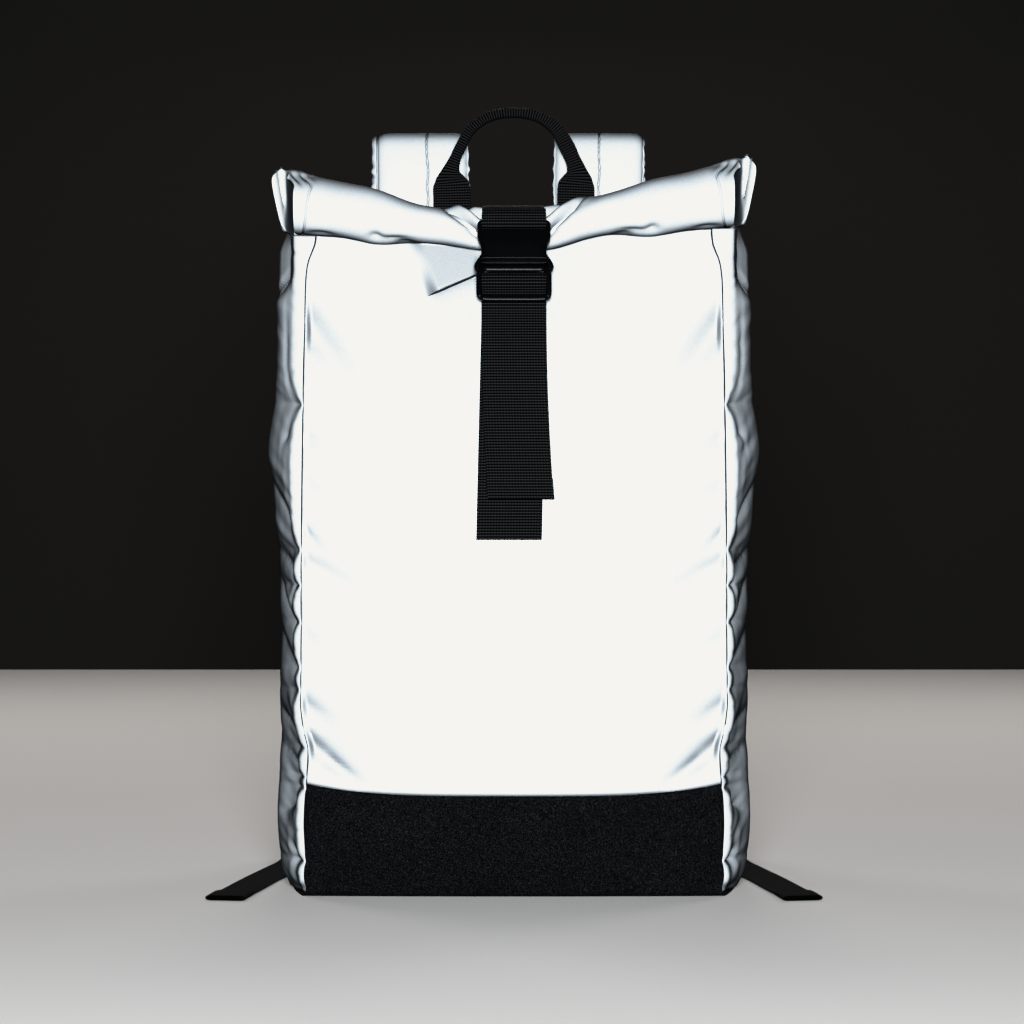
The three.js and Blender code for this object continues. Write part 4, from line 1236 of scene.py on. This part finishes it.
def lower_half():
    x, _ = round_loop(MALE_HALF - FRAME_BAR / 2, FRAME_BAR / 2, MALE_TOP - FRAME_BAR / 2, FRAME_POWER)
    thick = BAR + (RAIL - BAR) * ease(np.abs(x), 18.5, 20.9)
    ring = frame_ring(MALE_HALF, 0, MALE_TOP, FRAME_POWER, FRAME_BAR, thick, on_buckle)
    threaded = cross_bar(BAR_HALF, MIDDLE_BAR, 3.5, BAR, on_buckle)
    upper = cross_bar(BAR_HALF, MALE_TOP - 1.2, 4.2, RAIL, on_buckle)
    section = round_section(ROUND_POINTS)
    tongue = tube(on_buckle(section[:, 0] * 5, np.linspace(20, 39, 9)[:, None], section[:, 1] * 2))
    return [ring, threaded, upper, arm(-1), arm(1), tongue]


make_piece("buckle_lower_half", lower_half(), PLASTIC, ["buckle_male"])

# %% Upper half
SOCKET = table(
    "v half thick",
    (22.7, 19.6, 8.4), (23.2, 20.3, 9.6), (24.5, 20.6, 10), (30, 20.5, 10), (36, 20.6, 10),
    (38.4, 21.6, 9.8), (40.6, 22.5, 9.4), (44, 22.7, 8.4), (46.2, 22.4, 6.4),
)
WINDOW = 1.6


def upper_half():
    v = np.concatenate([np.linspace(22.7, 25, 8), np.linspace(25.6, 46.2, 34)])[:, None]
    half, thick = (read(SOCKET, "v", v, name) for name in ("half", "thick"))
    section = round_section(48, 7)
    window = WINDOW * bell(v, 30.5, 4.2) * ease(np.abs(section[:, 1]), 0.75, 0.35)
    body = on_buckle(section[:, 0] * (half - window), v, section[:, 1] * thick / 2)
    ring = frame_ring(half=22.75, low=42.6, high=53.6, power=6, bar=3.4, thick=4.4, place=on_buckle)
    lip = frame_ring(half=20.7, low=22.8, high=27.5, power=8, bar=1.2, thick=10.4, place=on_buckle)
    return [tube(body), ring, lip]


make_piece("buckle_upper_half", upper_half(), PLASTIC, ["buckle_female"])

# %% [markdown]
# ## Closure straps
# The upper strap runs over the roll and round the socket's bar. The lower one is sewn to the panel,
# goes round the middle bar of the frame and hangs down again as a loose tail, a little turned, with a
# folded hem. Each is one band along one path through the buckle, as real webbing is threaded, so no end
# floats.

# %% Strap routes
STRAP = 1.5
WIDE = 40.0
LIE = STRAP / 2 + 0.6
LAYER = STRAP + 0.5


def beside(curve, at, distance):
    """Points at a distance from a curve in the middle plane, along its normal."""
    step = 1e-3
    before, here, after = curve(at - step), curve(at), curve(at + step)
    ahead = unit(after - before)
    return here + distance * np.stack([0 * ahead[:, 0], -ahead[:, 2], ahead[:, 1]], -1)


def front_line(z):
    """The front panel's middle line by height."""
    x, y, _ = front_depth(0 * z, z)
    return np.stack([x, y, z], -1)


def route(points, width, thick):
    """Points as a table for a band of even width and thickness."""
    names = dict(zip("xyz", np.asarray(points, float).T))
    count = len(points)
    return {**names, "width": np.full(count, width), "thick": np.broadcast_to(thick, count).astype(float)}


print("the strap's middle lies", LIE, "mm off the cloth")

# %% Closure straps
UPPER_BUCKLE = table(
    "v o",
    (56.6, -3), (53.1, -3.2), (50.2, -3.2), (48, -2), (47.5, 0), (48, 2), (50.2, 3.2), (53.1, 3.2),
    (56.6, 3.2),
)
LOWER_BUCKLE = table(
    "v o",
    (1, -5.4), (8, -5.3), (13, -4.3), (16.4, -2.7), (17.6, 0), (16.4, 2.7), (13.4, 3.2), (10.4, 2.7),
    (8, 0.2), (5.4, -2.4), (2, -3.3), (-2, -3.4),
)
UNDER_BUCKLE = 358.0
ANCHOR_END = 220.0
TAIL_END = 246.0
TAIL_DRIFT = 4.2
ANCHOR_DRIFT = -3.0
HEM_LENGTH = 11.0
ROOF_HALF = 126.0
ROOF_RUN = (0.86, 0.975)
OVER_RUN = (0.2, 0.47)
MIDDLE_PLANE = (0, 1, 1)


def upper_strap():
    edge = WIDE / 2
    roof = beside(lambda up: back_place(edge / ROOF_HALF + 0 * up, up), np.linspace(*ROOF_RUN, 9), -LIE)
    over = beside(lambda t: roll_place(edge + 0 * t, t), np.linspace(*OVER_RUN, 7), -LIE)
    turn = on_buckle(0, UPPER_BUCKLE["v"], UPPER_BUCKLE["o"])
    points = np.concatenate([roof * MIDDLE_PLANE, over * MIDDLE_PLANE, turn])
    return ribbed_band(route(points, WIDE, STRAP), to_the_right, flat_section(16))


def lower_strap():
    share = np.linspace(0, 1, 9)
    up = beside(front_line, ANCHOR_END + (UNDER_BUCKLE - ANCHOR_END) * share, LIE)
    up[:, 0] = ANCHOR_DRIFT * (1 - share)
    down = beside(front_line, UNDER_BUCKLE + (TAIL_END - UNDER_BUCKLE) * share, LIE + LAYER + 0.5)
    down[:, 0] = TAIL_DRIFT * share**2
    turn = on_buckle(0, LOWER_BUCKLE["v"], LOWER_BUCKLE["o"])
    columns = route(np.concatenate([up, turn, down]), WIDE, STRAP)
    return ribbed_band(columns, to_the_right, flat_section(14), level=True)


def tail_hem():
    """The folded end of the loose tail: a second layer on it."""
    z = np.linspace(TAIL_END + HEM_LENGTH, TAIL_END - 1.6, 8)
    places = beside(front_line, z, LIE + 2 * LAYER + 0.4)
    places[:, 0] = TAIL_DRIFT * ((UNDER_BUCKLE - z) / (UNDER_BUCKLE - TAIL_END)) ** 2
    return ribbed_band(route(places, WIDE + 0.6, STRAP), to_the_right, flat_section(14), level=True)


make_piece("closure_webbing_upper", [upper_strap()], WEBBING, ["closure_strap_upper"])
make_piece(
    "closure_webbing_lower", [lower_strap(), tail_hem()], WEBBING, ["closure_strap_lower"]
)

# %% [markdown]
# ## Grab handle
# The handle is 25 mm webbing. Its feet lie flat between the back and the shoulder straps, and the grip
# is folded in half and sewn, so it narrows quickly above the feet. It could be a flat band folded in
# steps, but a table that narrows and thickens one band along its path is simpler and as true from the
# front.

# %% Handle
HANDLE = table(
    "x y z width thick turn slimmer",
    (41.5, 66.8, 362, 25, 1.5, 0, 0), (41.5, 67, 390, 25, 1.5, 0, 0), (41.5, 68, 425, 25, 1.5, 0, 0),
    (41.5, 68.5, 446, 25, 1.6, 2, 0), (41.8, 68.5, 456, 24.4, 1.8, 6, 0),
    (42.2, 68.5, 461, 20, 3, 12, 0.6), (41.9, 68.5, 466, 13.5, 5, 16, 1.6),
    (39.6, 68.5, 473, 10.4, 7.5, 25, 2.6), (35.4, 68.5, 482, 10.6, 8.5, 28, 3.2),
    (28.8, 68.5, 493, 9, 8.5, 41, 2.2), (16.5, 68.5, 501.6, 7.2, 8.5, 66, 0.8),
    (0, 68.5, 504.4, 6.4, 8.5, 90, 0),
)


def grab_handle():
    other = {name: values[:-1][::-1] for name, values in HANDLE.items()}
    other["x"], other["turn"] = -other["x"], 180 - other["turn"]
    other["width"] = other["width"] - other["slimmer"]
    columns = {name: np.concatenate([HANDLE[name], other[name]]) for name in HANDLE}

    def across(path):
        angle = np.radians(path["turn"])
        return np.stack([np.cos(angle), 0 * angle, np.sin(angle)], -1)

    return ribbed_band(columns, across, flat_section(12))


make_piece("handle_webbing", [grab_handle()], WEBBING, ["grab_handle"])

# %% [markdown]
# ## Shoulder straps
# They are padded: two layers of silver cloth round foam, sewn together along both edges and quilted
# down the middle. The section is a crowned pad with a channel at the quilting and thin wavy edges where
# the sewing gathers the cloth, and the left pad has a wider bound edge. A cloth solver could swell the
# pads, but they are nearly flat, so the section is drawn and carried along the path.

# %% Shoulder straps
SHOULDER = table(
    "x y z width thick",
    (60, 70.2, 358, 60, 4), (60, 71.6, 390, 60, 6), (60, 75, 425, 61, 8.5), (60, 78.5, 455, 62, 9),
    (60.5, 82.5, 477, 62, 9), (60.8, 86, 486, 62, 9), (61, 93, 490, 62, 9), (61.3, 100.5, 486, 62, 9),
    (61.6, 106, 474, 62, 9), (62.5, 112, 450, 62, 9), (66, 119, 390, 62, 9), (74, 124, 320, 60, 9),
    (84, 122, 250, 56, 9), (93, 113, 190, 50, 9), (101.5, 102, 146, 42, 8), (104, 95, 121, 33, 6),
)
PADS = table("side shift wider seam edge", (-1, 2.6, 3, -0.145, 0.89), (1, -2.8, -1, 0, 0.965))
PAD_EDGE = 0.965
CROWN_POWER = 9
CHANNEL = 0.4
CHANNEL_WIDTH = 0.016
SEAM_WIDTH = 0.05
UPPER_RUN = (190, 330)


def pad_section(seam, outer_edge):
    """Half width and half thickness shares round a pad: a flat crown with a channel, and thin edges
    outside it."""
    wide = np.sin(np.linspace(-1, 1, 32) * np.pi / 2) * 0.999
    fine = seam + np.linspace(-0.07, 0.07, 15)
    edge = outer_edge + np.linspace(-0.05, 0.05, 12)
    wide = wide[(np.abs(wide - seam) > 0.075) & (np.abs(wide - outer_edge) > 0.055)]
    a = np.sort(np.concatenate([wide, fine, edge[edge < 0.999]]))
    limit = np.where(a > 0, outer_edge, PAD_EDGE)
    crown = (1 - (np.abs(a) / limit).clip(0, 1) ** CROWN_POWER) ** 0.5
    bound = (0.5 * (1 - np.abs(a) ** 24) + 0.02) * ease(np.abs(a), limit, limit + 0.03)
    b = np.maximum(crown, bound + 0.02) * (1 - CHANNEL * np.exp(-np.abs(a - seam) / CHANNEL_WIDTH))
    return np.concatenate([np.stack([a, b], 1), np.stack([a, -b], 1)[::-1]])


def shoulder_strap(side):
    pad = {name: PADS[name][PADS["side"] == side][0] for name in PADS}
    path = along(SHOULDER, 1.6)
    upper = 1 - ease(path["way"], *UPPER_RUN)
    places = np.stack([side * (path["x"] + pad["shift"] * upper), path["y"], path["z"]], 1)
    shape = pad_section(pad["seam"], pad["edge"])
    section = shape * [side, 1]
    width = path["width"] + pad["wider"] * upper
    rings = band_rings(places, to_the_right(path), width, path["thick"], section)
    way = path["way"][:, None]
    share = shape[:, 0]
    wave = np.sin(way * 0.42 + 2.2 * np.sin(way * 0.11))
    wave = wave + 0.6 * np.sin(way * 0.8 + 3 * np.sin(way * 0.13 + side))
    edge = ease(np.abs(share), np.where(share > 0, pad["edge"], PAD_EDGE) - 0.04, 1) * ease(way, 3, 12)
    seam = np.exp(-np.abs(share - pad["seam"]) / SEAM_WIDTH)
    face = normals(rings)
    rings = rings + face * (0.25 * wave * edge)[..., None] * np.sign(section[:, 1])[:, None]
    rings = rings - face * (0.35 * np.sin(way * 1.3 + 2 * np.sin(way * 0.3)) * seam)[..., None]
    rings[..., 0] += 0.4 * wave * edge * np.sign(section[:, 0])
    rings[..., 0] += 0.5 * np.sin(way * 0.23 + 2 * np.sin(way * 0.07)) * seam
    return tube(rings, path["way"])


for word, side in (("left", -1), ("right", 1)):
    strap = make_piece(
        f"shoulder_pad_{word}", [shoulder_strap(side)], SILVER, [f"shoulder_strap_{word}"]
    )

# %% [markdown]
# ## Adjusters and lower webbing
# Below each pad a plain ladder-lock holds the webbing that comes up from the base. The webbing turns
# round one of its bars and falls to the floor, where the photograph shows the two loose ends lying
# beside the bag.

# %% Adjusters
ADJUSTER = (104.5, 85.2, 85.6)
ADJUSTER_LEAN = np.radians(15.6)
ADJUSTER_HALF = 16.5
ADJUSTER_BAR_HALF = 14.5
ADJUSTER_BARS = ((0, 3.5), (9.5, 13), (19, 22.5), (28.5, 32))
ADJUSTER_THICK = 3.6


def on_adjuster(side):
    """A function from the adjuster's plane to the bag: x across, v up, o away from the back."""

    def place(x, v, o):
        y = ADJUSTER[1] + v * np.sin(ADJUSTER_LEAN) + o * np.cos(ADJUSTER_LEAN)
        z = ADJUSTER[2] + v * np.cos(ADJUSTER_LEAN) - o * np.sin(ADJUSTER_LEAN)
        return np.stack(np.broadcast_arrays(side * ADJUSTER[0] + x, y, z), -1)

    return place


print("the ladder-locks lean by", np.degrees(ADJUSTER_LEAN), "degrees")

# %% Lower webbing
TAB = table(
    "v o",
    (58, 6), (48, 5.6), (39, 4.9), (31, 3.4), (28.2, 3), (26.2, 1.9), (25.6, 0), (26.2, -1.9),
    (28.2, -3), (31, -3.4), (39, -4.9), (48, -5.6), (58, -6),
)
THREADED = table(
    "v o",
    (-8, -5.4), (5, -5), (11, -4.2), (14.6, -2.6), (15.8, 0), (14.4, 2.6), (11.2, 3.2), (8, 2.6),
    (6.4, 0.2), (4.4, -2.4), (1.6, -3.1), (-3, -3), (-10, -1.6),
)
NARROW = 25.0
WEB_FOOT = table("x y z thick roll", (112, 66, 10, 1.5, 0), (112, 67, 24, 1.5, 0), (108.5, 72.5, 52, 1.5, 0))
WEB_TAIL = table(
    "x y z thick roll",
    (109, 88, 62, 1.5, 12), (119, 98, 40, 1.5, 24), (132, 104, 19, 1.5, 20), (139.5, 100, 7.5, 1.5, 8),
    (143.5, 91, 3, 1.5, 1), (146.5, 81, 1.1, 1.5, 0), (151, 58, 1, 1.5, 0), (162, 4, 1, 1.5, 0),
    (171.5, -52, 1.3, 1.5, 0), (172.5, -58, 1.8, 3.2, 0), (176, -80, 1.8, 3.2, 0),
)
FLOOR_CLEAR = 0.25


def adjuster(side):
    place = on_adjuster(side)
    top = ADJUSTER_BARS[-1][1]
    ring = frame_ring(ADJUSTER_HALF, 0, top, 9, 3.4, ADJUSTER_THICK, place)
    inner = [((low + high) / 2, high - low) for low, high in ADJUSTER_BARS[1:3]]
    return [ring] + [cross_bar(ADJUSTER_BAR_HALF, v, wide, ADJUSTER_THICK, place) for v, wide in inner]


def strap_tab(side):
    points = on_adjuster(side)(0 * TAB["v"], TAB["v"], TAB["o"])
    return ribbed_band(route(points, NARROW, STRAP), to_the_right)


def shoulder_webbing(side):
    threaded = on_adjuster(side)(0 * THREADED["v"], THREADED["v"], THREADED["o"])
    middle = {**dict(zip("xyz", threaded.T)), "thick": 0 * THREADED["v"] + STRAP, "roll": 0 * THREADED["v"]}
    middle["x"] = side * middle["x"]
    columns = {name: np.concatenate([WEB_FOOT[name], middle[name], WEB_TAIL[name]]) for name in WEB_FOOT}
    columns["width"] = np.full(len(columns["x"]), NARROW)
    columns["x"] = side * columns["x"]

    def across(path):
        angle = np.radians(path["roll"])
        return np.stack([np.cos(angle), 0 * angle, side * np.sin(angle)], -1)

    points, faces, uv = ribbed_band(columns, across)
    points[:, 2] = np.maximum(points[:, 2], FLOOR_CLEAR)
    return points, faces, uv


for word, side in (("left", -1), ("right", 1)):
    make_piece(f"ladder_lock_{word}", adjuster(side), PLASTIC, [f"strap_adjuster_{word}"])
    make_piece(f"tab_webbing_{word}", [strap_tab(side)], WEBBING, [f"strap_tab_{word}"])
    webbing = [shoulder_webbing(side)]
    make_piece(f"floor_webbing_{word}", webbing, WEBBING, [f"shoulder_webbing_{word}"])

# %% Finish
print("all pieces are made")
